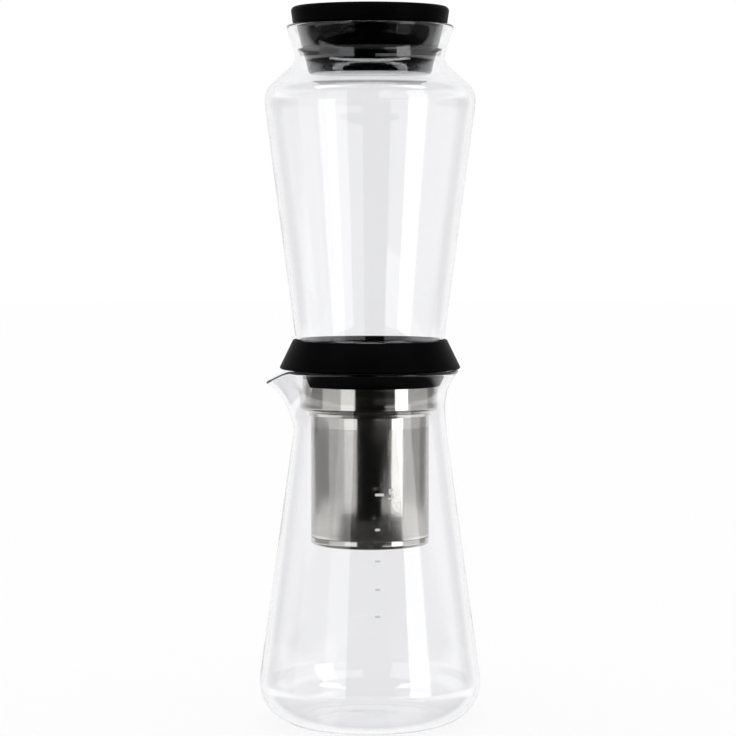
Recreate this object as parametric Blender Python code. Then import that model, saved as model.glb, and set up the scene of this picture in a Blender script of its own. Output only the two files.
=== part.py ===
"""A slow-drip cold brew coffee maker, built as separate pieces, in metres with +Z up.

From the bottom up: a conical glass server with a pulled spout, a black collar that stands on the
server's lip, a steel strainer that plugs into the collar from below, a glass water bowl that
stands in the collar's dish, a drip valve in the bowl's floor, and a stopper lid in the bowl's neck.
The origin is the middle of the server's base, and the spout points to -X.
"""

import math

import bmesh
import bpy

# Values shared by all pieces
GAP = 0.0003  # what two pieces that touch keep between them
CUT_OVERRUN = 0.0020  # how far a cutter reaches past what it cuts
MERGE_DISTANCE = 0.000001
SMOOTH_ANGLE = math.radians(35)
UPRIGHT = math.pi / 2
ROUND_STEPS = 36
SERVER_STEPS = 44
SMALL_STEPS = 16
HOLE_STEPS = 8

# Glass server; drops are measured down from its lip
SERVER_HEIGHT = 0.1926
SERVER_RADIUS = 0.0604
SERVER_WALL = 0.0020
SERVER_HEEL_RADIUS = 0.0225
SERVER_WAIST_RADIUS = 0.0407
SERVER_WAIST_DROP = 0.0210
SERVER_CONE_TOP_DROP = 0.0445
SERVER_CONE_TOP_STEP = 0.0023  # how much wider the cone's top is than the waist
SERVER_WAIST_SHARES = (0.40, 0.30)
SERVER_LIP_REACH = 0.0071  # how much wider the lip is than the waist
SERVER_LIP_FLARE = math.radians(40)
SERVER_LIP_SHARES = (0.43, 0.33)
PUNT_RADIUS = 0.0300
PUNT_RISE = 0.0018
PUNT_RING_SHARES = (0, 0.40, 0.75, 1)
SPOUT_START_DROP = 0.0325
SPOUT_REACH = 0.0084
SPOUT_DROOP = 0.0074
SPOUT_HALF_ANGLE = math.radians(30)
SPOUT_CROWDING_SHARE = 0.50  # how much closer the server's facets stand at the spout
SPOUT_SWELL_POWER = 1.2
SPOUT_DROOP_POWER = 2.7
SPOUT_POINT_POWER = 1.25

# Glass water bowl; heights are above its underside and drops are below its rim
BOWL_HEIGHT = 0.1762
BOWL_WALL = 0.0020
BOWL_FOOT_RADIUS = 0.0340
BOWL_HEEL_RADIUS = 0.0060
BOWL_RADIUS = 0.0568
BOWL_SIDE_TOP_DROP = 0.0511
BOWL_SIDE_TOP_INSET = 0.0010
BOWL_SLOPE_DROP = 0.0318
BOWL_SLOPE_INSET = 0.0037
BOWL_SLOPE_PITCH = math.radians(42)
BOWL_SLOPE_LENGTH = 0.0073
BOWL_SHOULDER_SHARES = (0.46, 0.33)
BOWL_THROAT_RADIUS = 0.0404
BOWL_THROAT_DROP = 0.0175
BOWL_THROAT_SHARES = (0.50, 0.25)
BOWL_RIM_REACH = 0.0051  # how much wider the rim is than the throat
BOWL_RIM_FLARE = math.radians(17)
BOWL_NECK_SHARES = (0.18, 0.40)
BOWL_HOLE_RADIUS = 0.0072

# Collar shell and seat; heights are above the collar's underside
SKIRT_HEIGHT = 0.0156
SKIRT_RIM_MARGIN = 0.0017  # how much wider the collar's top edge is than the bowl's foot
SKIRT_TIP_MARGIN = 0.0011  # how far the collar's lower edge stands out over the server's lip
SKIRT_TIP_HEIGHT = 0.0008
SKIRT_EDGE_CHAMFER = 0.0003
SKIRT_WALL = 0.0011
FLANGE_THICKNESS = 0.0019
LIP_SEAL_WIDTH = 0.0020
LIP_SEAL_THICKNESS = 0.0007
BOWL_SINK = 0.0068  # how far the bowl's underside stands below the collar's top edge
DISH_CLEARANCE = 0.0005
DISH_EDGE_GAP = 0.0004
SEAT_FLOOR_DROP = 0.0011
SEAT_FLOOR_THICKNESS = 0.0028
SEAT_SKIRT_WALL = 0.0021
SEAT_DRIP_CLEARANCE = 0.0024
BOWL_GASKET_INNER_RADIUS = 0.0290
BOWL_GASKET_WIDTH = 0.0044
BOWL_GASKET_THICKNESS = 0.0015

# Collar plug ring; drops are below the collar's underside
RING_BOTTOM_DROP = 0.0086
RING_BOTTOM_WALL = 0.0010
RING_EDGE_CHAMFER = 0.0005
RING_CONE_TOP_DROP = 0.0019
RING_CONE_TOP_STEP = 0.0040  # how much wider the cone is at its top than the ring's bore
RING_NECK_STEP = 0.0013
RING_NECK_RISE = 0.0010
RING_FLANGE_LAP = 0.0026
RING_FLANGE_THICKNESS = 0.0014
RING_SLEEVE_STEP = 0.0017
RING_SLEEVE_WALL = 0.0019
RING_LEDGE_REACH = 0.0018
RING_LEDGE_THICKNESS = 0.0012
VENT_HALF_ANGLE = math.radians(34)
VENT_TOP_DROP = 0.00175
VENT_STEPS = 8

# Strainer; heights and lengths run down from the band's top edge
STRAINER_NECK_CLEARANCE = 0.0020
STRAINER_SEAL_THICKNESS = 0.0008
STRAINER_SEAL_WIDTH = 0.0013
BAND_WALL = 0.0006
BAND_SIDE_HEIGHT = 0.0159
BAND_CORNER_RADIUS = 0.0026
BAND_STEP_DROP = 0.0004
BAND_COLLAR_HEIGHT = 0.0018
WALL_INSET = 0.0046  # how much narrower the strainer's wall is than its band
WALL_THICKNESS = 0.0004
WALL_LAP = 0.0012
WALL_LENGTH = 0.0670
FOOT_HEIGHT = 0.0043
FOOT_CORNER_RADIUS = 0.0020
FOOT_SHEET = 0.0006
FOOT_SLEEVE_HEIGHT = 0.0040
FOOT_FLANGE_WIDTH = 0.0042
FLOOR_THICKNESS = 0.0004
SPREADER_SIDE_CLEARANCE = 0.0017
SPREADER_SHEET = 0.0006
SPREADER_RIM_HEIGHT = 0.0050
SPREADER_HOLE_RADIUS = 0.0014
SPREADER_RING_PITCH = 0.0100
SPREADER_RINGS = 3

# Drip valve; heights are above the bowl's floor inside
GROMMET_FLANGE_LAP = 0.0033
GROMMET_FLANGE_THICKNESS = 0.0010
GROMMET_STEM_REACH = 0.0025
GROMMET_TAIL_REACH = 0.0093
GROMMET_TAIL_TAPER = 0.0027
NOZZLE_RADIUS = 0.0022
NOZZLE_BORE_RADIUS = 0.0006
NOZZLE_HEAD_LAP = 0.0014
NOZZLE_HEAD_THICKNESS = 0.0005
NOZZLE_TIP_REACH = 0.0016
SCREEN_EDGE_INSET = 0.0015
SCREEN_HEADROOM = 0.0003
SCREEN_SHEET = 0.0003
SCREEN_CORNER_RADIUS = 0.0007

# Stopper lid; heights are above the cap's lower edge
CAP_RISE = 0.0003  # how far the cap's lower edge stands over the bowl's rim
CAP_HEIGHT = 0.0093
CAP_RIM_INSET = 0.0040
CAP_TAPER = 0.0010
CAP_CORNER_RADIUS = 0.0024
CAP_WALL = 0.0020
CAP_ROOF = 0.0022
PLUG_DEPTH = 0.0271
PLUG_TOP_INSET = 0.0016
PLUG_TAPER = 0.0068
PLUG_WALL = 0.0018
PLUG_INNER_INSET = 0.0034
PLUG_CORNER = 0.0012
PLUG_NECK_HEIGHT = 0.0045
LID_GASKET_THROAT_RISE = 0.0040
LID_GASKET_HEIGHT = 0.0026
LID_GASKET_SLEEVE = 0.0009
LID_GASKET_FIN = 0.0009
LID_GASKET_NOTCH_ANGLE = math.radians(7)

# Radii that follow from the sizes above
SERVER_LIP_RADIUS = SERVER_WAIST_RADIUS + SERVER_LIP_REACH
BAND_RADIUS = SERVER_WAIST_RADIUS - SERVER_WALL - STRAINER_NECK_CLEARANCE
WALL_RADIUS = BAND_RADIUS - WALL_INSET
SPREADER_RADIUS = BAND_RADIUS - BAND_WALL - SPREADER_SIDE_CLEARANCE
RING_BORE_RADIUS = BAND_RADIUS + GAP
RING_SLEEVE_INNER_RADIUS = RING_BORE_RADIUS + RING_SLEEVE_STEP
RING_NECK_RADIUS = RING_BORE_RADIUS + RING_CONE_TOP_STEP + RING_NECK_STEP
FLANGE_BORE_RADIUS = RING_NECK_RADIUS + GAP
SKIRT_TOP_RADIUS = BOWL_FOOT_RADIUS + BOWL_HEEL_RADIUS + SKIRT_RIM_MARGIN
SKIRT_TIP_RADIUS = SERVER_LIP_RADIUS + SKIRT_TIP_MARGIN
BOWL_RIM_RADIUS = BOWL_THROAT_RADIUS + BOWL_RIM_REACH
CAP_BOTTOM_RADIUS = BOWL_RIM_RADIUS - CAP_RIM_INSET
PLUG_TOP_RADIUS = CAP_BOTTOM_RADIUS - PLUG_TOP_INSET
GROMMET_FLANGE_RADIUS = BOWL_HOLE_RADIUS + GROMMET_FLANGE_LAP

# Heights inside the collar that several of its pieces share, above its underside
COLLAR_BOWL_HEIGHT = SKIRT_HEIGHT - BOWL_SINK
SEAT_TOP_HEIGHT = COLLAR_BOWL_HEIGHT - SEAT_FLOOR_DROP
SEAT_BOTTOM_HEIGHT = SEAT_TOP_HEIGHT - SEAT_FLOOR_THICKNESS
GASKET_GROOVE_HEIGHT = COLLAR_BOWL_HEIGHT - BOWL_GASKET_THICKNESS - 2 * GAP
LEDGE_TOP_HEIGHT = GAP - RING_CONE_TOP_DROP
LEDGE_BOTTOM_HEIGHT = LEDGE_TOP_HEIGHT - RING_LEDGE_THICKNESS
STRAINER_SEAL_BOTTOM_HEIGHT = LEDGE_BOTTOM_HEIGHT - GAP - STRAINER_SEAL_THICKNESS

# Heights down the strainer, from its band's top edge
STEP_BOTTOM_HEIGHT = -BAND_SIDE_HEIGHT - BAND_CORNER_RADIUS
BAND_NECK_HEIGHT = STEP_BOTTOM_HEIGHT - BAND_STEP_DROP
WALL_TOP_HEIGHT = BAND_NECK_HEIGHT - BAND_COLLAR_HEIGHT + WALL_LAP
WALL_BOTTOM_HEIGHT = WALL_TOP_HEIGHT - WALL_LENGTH
FOOT_TOP_HEIGHT = WALL_BOTTOM_HEIGHT - GAP
FOOT_BOTTOM_HEIGHT = FOOT_TOP_HEIGHT - FOOT_HEIGHT

# Heights at which the groups stand, each worked out from the one below it
COLLAR_Z = SERVER_HEIGHT + GAP
STRAINER_Z = COLLAR_Z + STRAINER_SEAL_BOTTOM_HEIGHT - GAP
BOWL_Z = COLLAR_Z + COLLAR_BOWL_HEIGHT
VALVE_Z = BOWL_Z + BOWL_WALL
LID_Z = BOWL_Z + BOWL_HEIGHT + CAP_RISE

# Height of the lid's gasket against its cap, set by where the bowl's throat is
LID_GASKET_LEVEL = LID_GASKET_THROAT_RISE - BOWL_THROAT_DROP - CAP_RISE


def arc(centre, radius, start, end, steps):
    """Points along a round corner, both ends included. Angles rise from +r towards +z."""
    angles = [start + (end - start) * i / steps for i in range(steps + 1)]
    return [(centre[0] + radius * math.cos(a), centre[1] + radius * math.sin(a)) for a in angles]


def away(point, angle, length):
    """The point that lies a length from another, in the direction of the angle."""
    return (point[0] + length * math.cos(angle), point[1] + length * math.sin(angle))


def sweep_curve(start, start_angle, end, end_angle, shares, steps):
    """A smooth curve between two points that leaves and arrives along two angles."""
    chord = math.dist(start, end)
    first = away(start, start_angle, shares[0] * chord)
    second = away(end, end_angle, -shares[1] * chord)
    points = []
    for i in range(steps + 1):
        t = i / steps
        weights = ((1 - t) ** 3, 3 * t * (1 - t) ** 2, 3 * t * t * (1 - t), t ** 3)
        corners = (start, first, second, end)
        points.append(tuple(sum(w * c[k] for w, c in zip(weights, corners)) for k in (0, 1)))
    return points


def tangent_angle(centre, radius, point):
    """The angle at which a straight side leaves a round heel to run to a point above it."""
    reach = math.dist(centre, point)
    bearing = math.atan2(point[1] - centre[1], point[0] - centre[0])
    return bearing - math.acos(radius / reach)


def moved_sideways(points, distance):
    """A line moved to the left of its travel by a wall's thickness; an end on the axis stays on it."""
    moved = []
    for i, point in enumerate(points):
        normals = []
        for a, b in zip(points[max(i - 1, 0):i + 1], points[max(i - 1, 0) + 1:i + 2]):
            length = math.dist(a, b)
            normals.append(((a[1] - b[1]) / length, (b[0] - a[0]) / length))
        middle = [sum(n[k] for n in normals) for k in (0, 1)]
        size = math.hypot(*middle)
        middle = [m / size for m in middle]
        reach = distance / (middle[0] * normals[0][0] + middle[1] * normals[0][1])
        r = point[0] + reach * middle[0] if point[0] > 0 else 0
        moved.append((r, point[1] + reach * middle[1]))
    return moved


def radius_at(points, z):
    """The radius of a turned outline at a height, where the line first crosses it going up."""
    for (r0, z0), (r1, z1) in zip(points, points[1:]):
        if z0 <= z <= z1 and z1 > z0:
            return r0 + (r1 - r0) * (z - z0) / (z1 - z0)
    return points[-1][0]


def rim_start(rim_radius, height, wall, flare):
    """Where the outer side of a flared glass wall stops, so that its round rim ends at the height."""
    middle = (rim_radius - wall / 2, height - wall / 2)
    return away(middle, -flare, wall / 2)


def rim_curve(outer, inner, steps):
    """The half-round edge of a glass wall, without its two end points."""
    centre = ((outer[0] + inner[0]) / 2, (outer[1] + inner[1]) / 2)
    start = math.atan2(outer[1] - centre[1], outer[0] - centre[0])
    return arc(centre, math.dist(outer, inner) / 2, start, start + math.pi, steps)[1:-1]


def box_outline(inner, outer, bottom, top):
    """The four corners of a plain ring."""
    return [(inner, bottom), (outer, bottom), (outer, top), (inner, top)]


def material(name, colour, roughness, metallic=0.0, alpha=1.0):
    """A plain finish for one kind of material."""
    made = bpy.data.materials.new(name)
    made.use_nodes = True
    shader = made.node_tree.nodes["Principled BSDF"]
    shader.inputs["Base Color"].default_value = (*colour, 1.0)
    shader.inputs["Roughness"].default_value = roughness
    shader.inputs["Metallic"].default_value = metallic
    shader.inputs["Alpha"].default_value = alpha
    return made


def group(name, z, parent=None):
    """An empty that carries the pieces of one moving group, at the group's own height."""
    empty = bpy.data.objects.new(name, None)
    bpy.context.scene.collection.objects.link(empty)
    empty.parent = parent
    empty.location.z = z - (parent.matrix_world.translation.z if parent else 0)
    bpy.context.view_layer.update()
    return empty


def turned_mesh(points, closed, steps, start=0.0, sweep=math.tau):
    """Spins an outline of (r, z) points round the Z axis into a closed bmesh."""
    bm = bmesh.new()
    verts = [bm.verts.new((r * math.cos(start), r * math.sin(start), z)) for r, z in points]
    after = verts[1:] + verts[:1] if closed else verts[1:]
    edges = [bm.edges.new(pair) for pair in zip(verts, after)]
    if sweep < math.tau:
        bm.faces.new(verts)
    geometry = list(bm.faces) + verts + edges
    bmesh.ops.spin(bm, geom=geometry, cent=(0, 0, 0), axis=(0, 0, 1), angle=sweep, steps=steps,
                   use_merge=sweep == math.tau)
    bmesh.ops.remove_doubles(bm, verts=bm.verts, dist=MERGE_DISTANCE)
    bmesh.ops.recalc_face_normals(bm, faces=bm.faces)
    return bm


def piece(name, bm, finish, parent):
    """Makes the named object from a bmesh, with its material, on its group."""
    mesh = bpy.data.meshes.new(name)
    bm.to_mesh(mesh)
    bm.free()
    mesh.shade_smooth()
    mesh.set_sharp_from_angle(angle=SMOOTH_ANGLE)
    mesh.materials.append(finish)
    made = bpy.data.objects.new(name, mesh)
    bpy.context.scene.collection.objects.link(made)
    made.parent = parent
    return made


def turned(name, points, finish, parent, closed=True, steps=ROUND_STEPS):
    """A round piece, turned from its outline."""
    return piece(name, turned_mesh(points, closed, steps), finish, parent)


def cut_with(target, bm):
    """Cuts a bmesh out of a piece. The cutter stays as a hidden guide."""
    mesh = bpy.data.meshes.new(target.name + "_cutter")
    bm.to_mesh(mesh)
    bm.free()
    cutter = bpy.data.objects.new(mesh.name, mesh)
    bpy.context.scene.collection.objects.link(cutter)
    cutter.parent = target.parent
    cutter.hide_render = True
    cutter.display_type = "WIRE"
    cut = target.modifiers.new("cut", "BOOLEAN")
    cut.operation = "DIFFERENCE"
    cut.object = cutter


def server_outline():
    """The server's outer side, from the middle of its base to where its lip's round edge begins."""
    heel = (SERVER_RADIUS - SERVER_HEEL_RADIUS, SERVER_HEEL_RADIUS)
    cone_top = (SERVER_WAIST_RADIUS + SERVER_CONE_TOP_STEP, SERVER_HEIGHT - SERVER_CONE_TOP_DROP)
    lean = tangent_angle(heel, SERVER_HEEL_RADIUS, cone_top)
    waist = (SERVER_WAIST_RADIUS, SERVER_HEIGHT - SERVER_WAIST_DROP)
    lip = rim_start(SERVER_LIP_RADIUS, SERVER_HEIGHT, SERVER_WALL, SERVER_LIP_FLARE)
    points = [(PUNT_RADIUS * s, PUNT_RISE * (1 - s * s)) for s in PUNT_RING_SHARES]
    points += arc(heel, SERVER_HEEL_RADIUS, -UPRIGHT, lean, 6)
    points += sweep_curve(cone_top, UPRIGHT + lean, waist, UPRIGHT, SERVER_WAIST_SHARES, 4)
    points += sweep_curve(waist, UPRIGHT, lip, UPRIGHT - SERVER_LIP_FLARE, SERVER_LIP_SHARES, 5)[1:]
    return points


def pull_spout(bm):
    """Crowds the facets at -X and draws the lip out and down there into a pouring beak."""
    for vert in bm.verts:
        radius = math.hypot(vert.co.x, vert.co.y)
        turn = math.atan2(vert.co.y, -vert.co.x)
        turn -= SPOUT_CROWDING_SHARE * math.sin(turn)
        rise = (vert.co.z - SERVER_HEIGHT + SPOUT_START_DROP) / SPOUT_START_DROP
        if rise > 0 and abs(turn) < SPOUT_HALF_ANGLE:
            share = (0.5 + 0.5 * math.cos(math.pi * turn / SPOUT_HALF_ANGLE)) ** SPOUT_POINT_POWER
            swell = math.sin(min(rise, 1) * UPRIGHT) ** SPOUT_SWELL_POWER
            radius += SPOUT_REACH * share * swell
            vert.co.z -= SPOUT_DROOP * share * rise ** SPOUT_DROOP_POWER
        vert.co.x = -radius * math.cos(turn)
        vert.co.y = radius * math.sin(turn)


def make_server(finish):
    """Blown glass server: punted base, round heel, straight cone, narrow waist, flared lip, spout."""
    outer = server_outline()
    inner = moved_sideways(outer, SERVER_WALL)
    points = outer + rim_curve(outer[-1], inner[-1], 3) + inner[::-1]
    bm = turned_mesh(points, False, SERVER_STEPS)
    pull_spout(bm)
    piece("server_glass", bm, finish, group("server", 0))


def bowl_outline():
    """The bowl's outer side, from its drip hole to where its rim's round edge begins."""
    heel = (BOWL_FOOT_RADIUS, BOWL_HEEL_RADIUS)
    side_top = (BOWL_RADIUS - BOWL_SIDE_TOP_INSET, BOWL_HEIGHT - BOWL_SIDE_TOP_DROP)
    lean = tangent_angle(heel, BOWL_HEEL_RADIUS, side_top)
    inward = math.pi - BOWL_SLOPE_PITCH
    slope_low = (BOWL_RADIUS - BOWL_SLOPE_INSET, BOWL_HEIGHT - BOWL_SLOPE_DROP)
    slope_high = away(slope_low, inward, BOWL_SLOPE_LENGTH)
    throat = (BOWL_THROAT_RADIUS, BOWL_HEIGHT - BOWL_THROAT_DROP)
    rim = rim_start(BOWL_RIM_RADIUS, BOWL_HEIGHT, BOWL_WALL, BOWL_RIM_FLARE)
    points = [(BOWL_HOLE_RADIUS, 0)] + arc(heel, BOWL_HEEL_RADIUS, -UPRIGHT, lean, 3)
    points += sweep_curve(side_top, UPRIGHT + lean, slope_low, inward, BOWL_SHOULDER_SHARES, 6)
    points += sweep_curve(slope_high, inward, throat, UPRIGHT, BOWL_THROAT_SHARES, 4)
    points += sweep_curve(throat, UPRIGHT, rim, UPRIGHT - BOWL_RIM_FLARE, BOWL_NECK_SHARES, 3)[1:]
    return points


def make_bowl(finish, parent):
    """Blown glass water bowl: flat floor with a drip hole, round heel, tapered side, flared neck."""
    outer = bowl_outline()
    inner = moved_sideways(outer, BOWL_WALL)
    points = outer + rim_curve(outer[-1], inner[-1], 3) + inner[::-1]
    turned("upper_bowl", points, finish, parent)


def make_collar_shell(finish, parent):
    """Outer cover of the collar: a conical skirt and a flange that stands on the server's lip."""
    taper = (SKIRT_TIP_RADIUS - SKIRT_TOP_RADIUS) / (SKIRT_HEIGHT - SKIRT_TIP_HEIGHT)
    rim_inner = SKIRT_TOP_RADIUS - SKIRT_WALL
    shoulder = SKIRT_HEIGHT - 2 * SKIRT_EDGE_CHAMFER
    flange_outer = rim_inner + taper * (shoulder - FLANGE_THICKNESS)
    groove_outer = SERVER_LIP_RADIUS + GAP
    groove_inner = groove_outer - LIP_SEAL_WIDTH - 2 * GAP
    groove_top = LIP_SEAL_THICKNESS + GAP
    points = [
        (FLANGE_BORE_RADIUS, 0),
        (groove_inner, 0),
        (groove_inner, groove_top),
        (groove_outer, groove_top),
        (groove_outer, 0),
        (SKIRT_TIP_RADIUS - SKIRT_EDGE_CHAMFER, 0),
        (SKIRT_TIP_RADIUS, SKIRT_TIP_HEIGHT),
        (SKIRT_TOP_RADIUS, SKIRT_HEIGHT - SKIRT_EDGE_CHAMFER),
        (SKIRT_TOP_RADIUS - SKIRT_EDGE_CHAMFER, SKIRT_HEIGHT),
        (rim_inner + SKIRT_EDGE_CHAMFER, SKIRT_HEIGHT),
        (rim_inner, shoulder),
        (flange_outer, FLANGE_THICKNESS),
        (FLANGE_BORE_RADIUS, FLANGE_THICKNESS),
    ]
    turned("collar_shell", points, finish, parent)


def make_lip_seal(finish, parent):
    """Soft ring, flush in the shell's underside, that keeps the hard collar off the glass lip."""
    outline = box_outline(SERVER_LIP_RADIUS - LIP_SEAL_WIDTH, SERVER_LIP_RADIUS, 0, LIP_SEAL_THICKNESS)
    turned("lip_seal", outline, finish, parent)


def make_collar_seat(finish, parent):
    """Dish that the bowl stands in, with a gasket groove, a drip opening and a skirt below."""
    heel = (BOWL_FOOT_RADIUS, COLLAR_BOWL_HEIGHT + BOWL_HEEL_RADIUS)
    dish_radius = BOWL_HEEL_RADIUS + DISH_CLEARANCE
    edge = SKIRT_TOP_RADIUS - SKIRT_WALL - DISH_EDGE_GAP
    dish_end = -math.acos((edge - BOWL_FOOT_RADIUS) / dish_radius)
    skirt_outer = RING_SLEEVE_INNER_RADIUS - GAP
    skirt_inner = skirt_outer - SEAT_SKIRT_WALL
    skirt_bottom = LEDGE_TOP_HEIGHT + GAP
    drip_radius = BOWL_HOLE_RADIUS + SEAT_DRIP_CLEARANCE
    groove_inner = BOWL_GASKET_INNER_RADIUS - GAP
    groove_outer = BOWL_GASKET_INNER_RADIUS + BOWL_GASKET_WIDTH + GAP
    points = [
        (edge, SEAT_BOTTOM_HEIGHT),
        (skirt_outer, SEAT_BOTTOM_HEIGHT),
        (skirt_outer, skirt_bottom),
        (skirt_inner, skirt_bottom),
        (skirt_inner, SEAT_BOTTOM_HEIGHT),
        (drip_radius, SEAT_BOTTOM_HEIGHT),
        (drip_radius, SEAT_TOP_HEIGHT),
        (groove_inner, SEAT_TOP_HEIGHT),
        (groove_inner, GASKET_GROOVE_HEIGHT),
        (groove_outer, GASKET_GROOVE_HEIGHT),
        (groove_outer, COLLAR_BOWL_HEIGHT - DISH_CLEARANCE),
    ]
    points += arc(heel, dish_radius, -UPRIGHT, dish_end, 3)
    turned("collar_seat", points, finish, parent)


def make_bowl_gasket(finish, parent):
    """Soft ring in the dish's groove that carries the bowl's underside."""
    outer = BOWL_GASKET_INNER_RADIUS + BOWL_GASKET_WIDTH
    top = COLLAR_BOWL_HEIGHT - GAP
    outline = box_outline(BOWL_GASKET_INNER_RADIUS, outer, top - BOWL_GASKET_THICKNESS, top)
    turned("bowl_gasket", outline, finish, parent)


def make_plug_ring(finish, parent):
    """Ring that hangs in the shell, carries the seat, grips the strainer's band and vents at -X."""
    bottom_radius = RING_BORE_RADIUS + RING_BOTTOM_WALL
    sleeve_outer = RING_SLEEVE_INNER_RADIUS + RING_SLEEVE_WALL
    flange_bottom = FLANGE_THICKNESS + GAP
    flange_top = flange_bottom + RING_FLANGE_THICKNESS
    ledge_inner = BAND_RADIUS - RING_LEDGE_REACH
    points = [
        (RING_BORE_RADIUS, -RING_BOTTOM_DROP),
        (bottom_radius - RING_EDGE_CHAMFER, -RING_BOTTOM_DROP),
        (bottom_radius, RING_EDGE_CHAMFER - RING_BOTTOM_DROP),
        (RING_BORE_RADIUS + RING_CONE_TOP_STEP, -RING_CONE_TOP_DROP),
        (RING_NECK_RADIUS, RING_NECK_RISE - RING_CONE_TOP_DROP),
        (RING_NECK_RADIUS, flange_bottom),
        (RING_NECK_RADIUS + RING_FLANGE_LAP, flange_bottom),
        (RING_NECK_RADIUS + RING_FLANGE_LAP, flange_top),
        (sleeve_outer, flange_top),
        (sleeve_outer, SEAT_BOTTOM_HEIGHT - GAP),
        (RING_SLEEVE_INNER_RADIUS, SEAT_BOTTOM_HEIGHT - GAP),
        (RING_SLEEVE_INNER_RADIUS, LEDGE_TOP_HEIGHT),
        (ledge_inner, LEDGE_TOP_HEIGHT),
        (ledge_inner, LEDGE_BOTTOM_HEIGHT),
        (RING_BORE_RADIUS, LEDGE_BOTTOM_HEIGHT),
    ]
    ring = turned("collar_plug_ring", points, finish, parent)
    window = box_outline(RING_BORE_RADIUS - GAP, RING_NECK_RADIUS + CUT_OVERRUN,
                         -RING_BOTTOM_DROP - CUT_OVERRUN, -VENT_TOP_DROP)
    start = math.pi - VENT_HALF_ANGLE
    cut_with(ring, turned_mesh(window, True, VENT_STEPS, start, 2 * VENT_HALF_ANGLE))


def make_strainer_seal(finish, parent):
    """Flat soft washer between the plug ring's ledge and the band's top edge."""
    top = STRAINER_SEAL_BOTTOM_HEIGHT + STRAINER_SEAL_THICKNESS
    outline = box_outline(BAND_RADIUS - STRAINER_SEAL_WIDTH, BAND_RADIUS, STRAINER_SEAL_BOTTOM_HEIGHT, top)
    turned("strainer_seal", outline, finish, parent)


def make_strainer_band(finish, parent):
    """Deep-drawn steel top of the strainer: a wide band, a round step in and a short collar."""
    neck = WALL_RADIUS + GAP + BAND_WALL
    corner = (BAND_RADIUS - BAND_CORNER_RADIUS, -BAND_SIDE_HEIGHT)
    outer = [(BAND_RADIUS, 0)]
    outer += arc(corner, BAND_CORNER_RADIUS, 0, -UPRIGHT, 3)
    outer += [(neck, BAND_NECK_HEIGHT), (neck, BAND_NECK_HEIGHT - BAND_COLLAR_HEIGHT)]
    inner = moved_sideways(outer, -BAND_WALL)
    turned("strainer_band", outer + inner[::-1], finish, parent)


def make_strainer_wall(finish, parent):
    """Rolled and seamed steel sheet, etched to a fine mesh between two plain edges."""
    outline = box_outline(WALL_RADIUS - WALL_THICKNESS, WALL_RADIUS, WALL_BOTTOM_HEIGHT, WALL_TOP_HEIGHT)
    turned("strainer_wall", outline, finish, parent)


def make_strainer_foot(finish, parent):
    """Steel foot of the strainer: flush outside, with a sleeve inside the wall and a flange below."""
    corner = (WALL_RADIUS - FOOT_CORNER_RADIUS, FOOT_BOTTOM_HEIGHT + FOOT_CORNER_RADIUS)
    sleeve_outer = WALL_RADIUS - WALL_THICKNESS - GAP
    sleeve_inner = sleeve_outer - FOOT_SHEET
    sleeve_top = WALL_BOTTOM_HEIGHT + FOOT_SLEEVE_HEIGHT
    flange_inner = corner[0] - FOOT_FLANGE_WIDTH
    points = [(flange_inner, FOOT_BOTTOM_HEIGHT)]
    points += arc(corner, FOOT_CORNER_RADIUS, -UPRIGHT, 0, 3)
    points += [
        (WALL_RADIUS, FOOT_TOP_HEIGHT),
        (sleeve_outer, FOOT_TOP_HEIGHT),
        (sleeve_outer, sleeve_top),
        (sleeve_inner, sleeve_top),
        (sleeve_inner, FOOT_BOTTOM_HEIGHT + FOOT_SHEET),
        (flange_inner, FOOT_BOTTOM_HEIGHT + FOOT_SHEET),
    ]
    turned("strainer_foot", points, finish, parent)


def make_strainer_floor(finish, parent):
    """Disc of the same mesh that lies on the foot's flange and closes the strainer."""
    bottom = FOOT_BOTTOM_HEIGHT + FOOT_SHEET + GAP
    radius = WALL_RADIUS - WALL_THICKNESS - 2 * GAP - FOOT_SHEET
    outline = box_outline(0, radius, bottom, bottom + FLOOR_THICKNESS)
    turned("strainer_floor", outline, finish, parent, closed=False)


def drill(bm, centre, radius, bottom, top):
    """Adds one upright drill to a cutter."""
    made = bmesh.ops.create_cone(bm, cap_ends=True, segments=HOLE_STEPS, radius1=radius, radius2=radius,
                                 depth=top - bottom)
    bmesh.ops.translate(bm, verts=made["verts"], vec=(*centre, (top + bottom) / 2))


def make_spreader(finish, parent):
    """Loose perforated tray on the band's step that spreads the drops over the grounds."""
    bottom = STEP_BOTTOM_HEIGHT + BAND_WALL + GAP
    floor = bottom + SPREADER_SHEET
    inner = SPREADER_RADIUS - SPREADER_SHEET
    top = bottom + SPREADER_RIM_HEIGHT
    points = [(0, bottom), (SPREADER_RADIUS, bottom), (SPREADER_RADIUS, top), (inner, top)]
    points += [(inner, floor), (0, floor)]
    spreader = turned("drip_spreader", points, finish, parent, closed=False)
    holes = bmesh.new()
    for ring in range(SPREADER_RINGS):
        count = max(1, 6 * ring)
        for i in range(count):
            centre = away((0, 0), math.tau * i / count, ring * SPREADER_RING_PITCH)
            drill(holes, centre, SPREADER_HOLE_RADIUS, bottom - CUT_OVERRUN, floor + CUT_OVERRUN)
    cut_with(spreader, holes)


def make_grommet(finish, parent):
    """Soft stopper in the bowl's drip hole: a flange inside, a stem in the hole, a tapered tail."""
    stem = BOWL_HOLE_RADIUS - GAP
    bore = NOZZLE_RADIUS + GAP
    top = GAP + GROMMET_FLANGE_THICKNESS
    tail = -BOWL_WALL - GROMMET_TAIL_REACH
    points = [
        (bore, tail),
        (stem - GROMMET_TAIL_TAPER, tail),
        (stem, -BOWL_WALL - GROMMET_STEM_REACH),
        (stem, GAP),
        (GROMMET_FLANGE_RADIUS, GAP),
        (GROMMET_FLANGE_RADIUS, top),
        (bore, top),
    ]
    turned("drip_grommet", points, finish, parent, steps=SMALL_STEPS)


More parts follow.
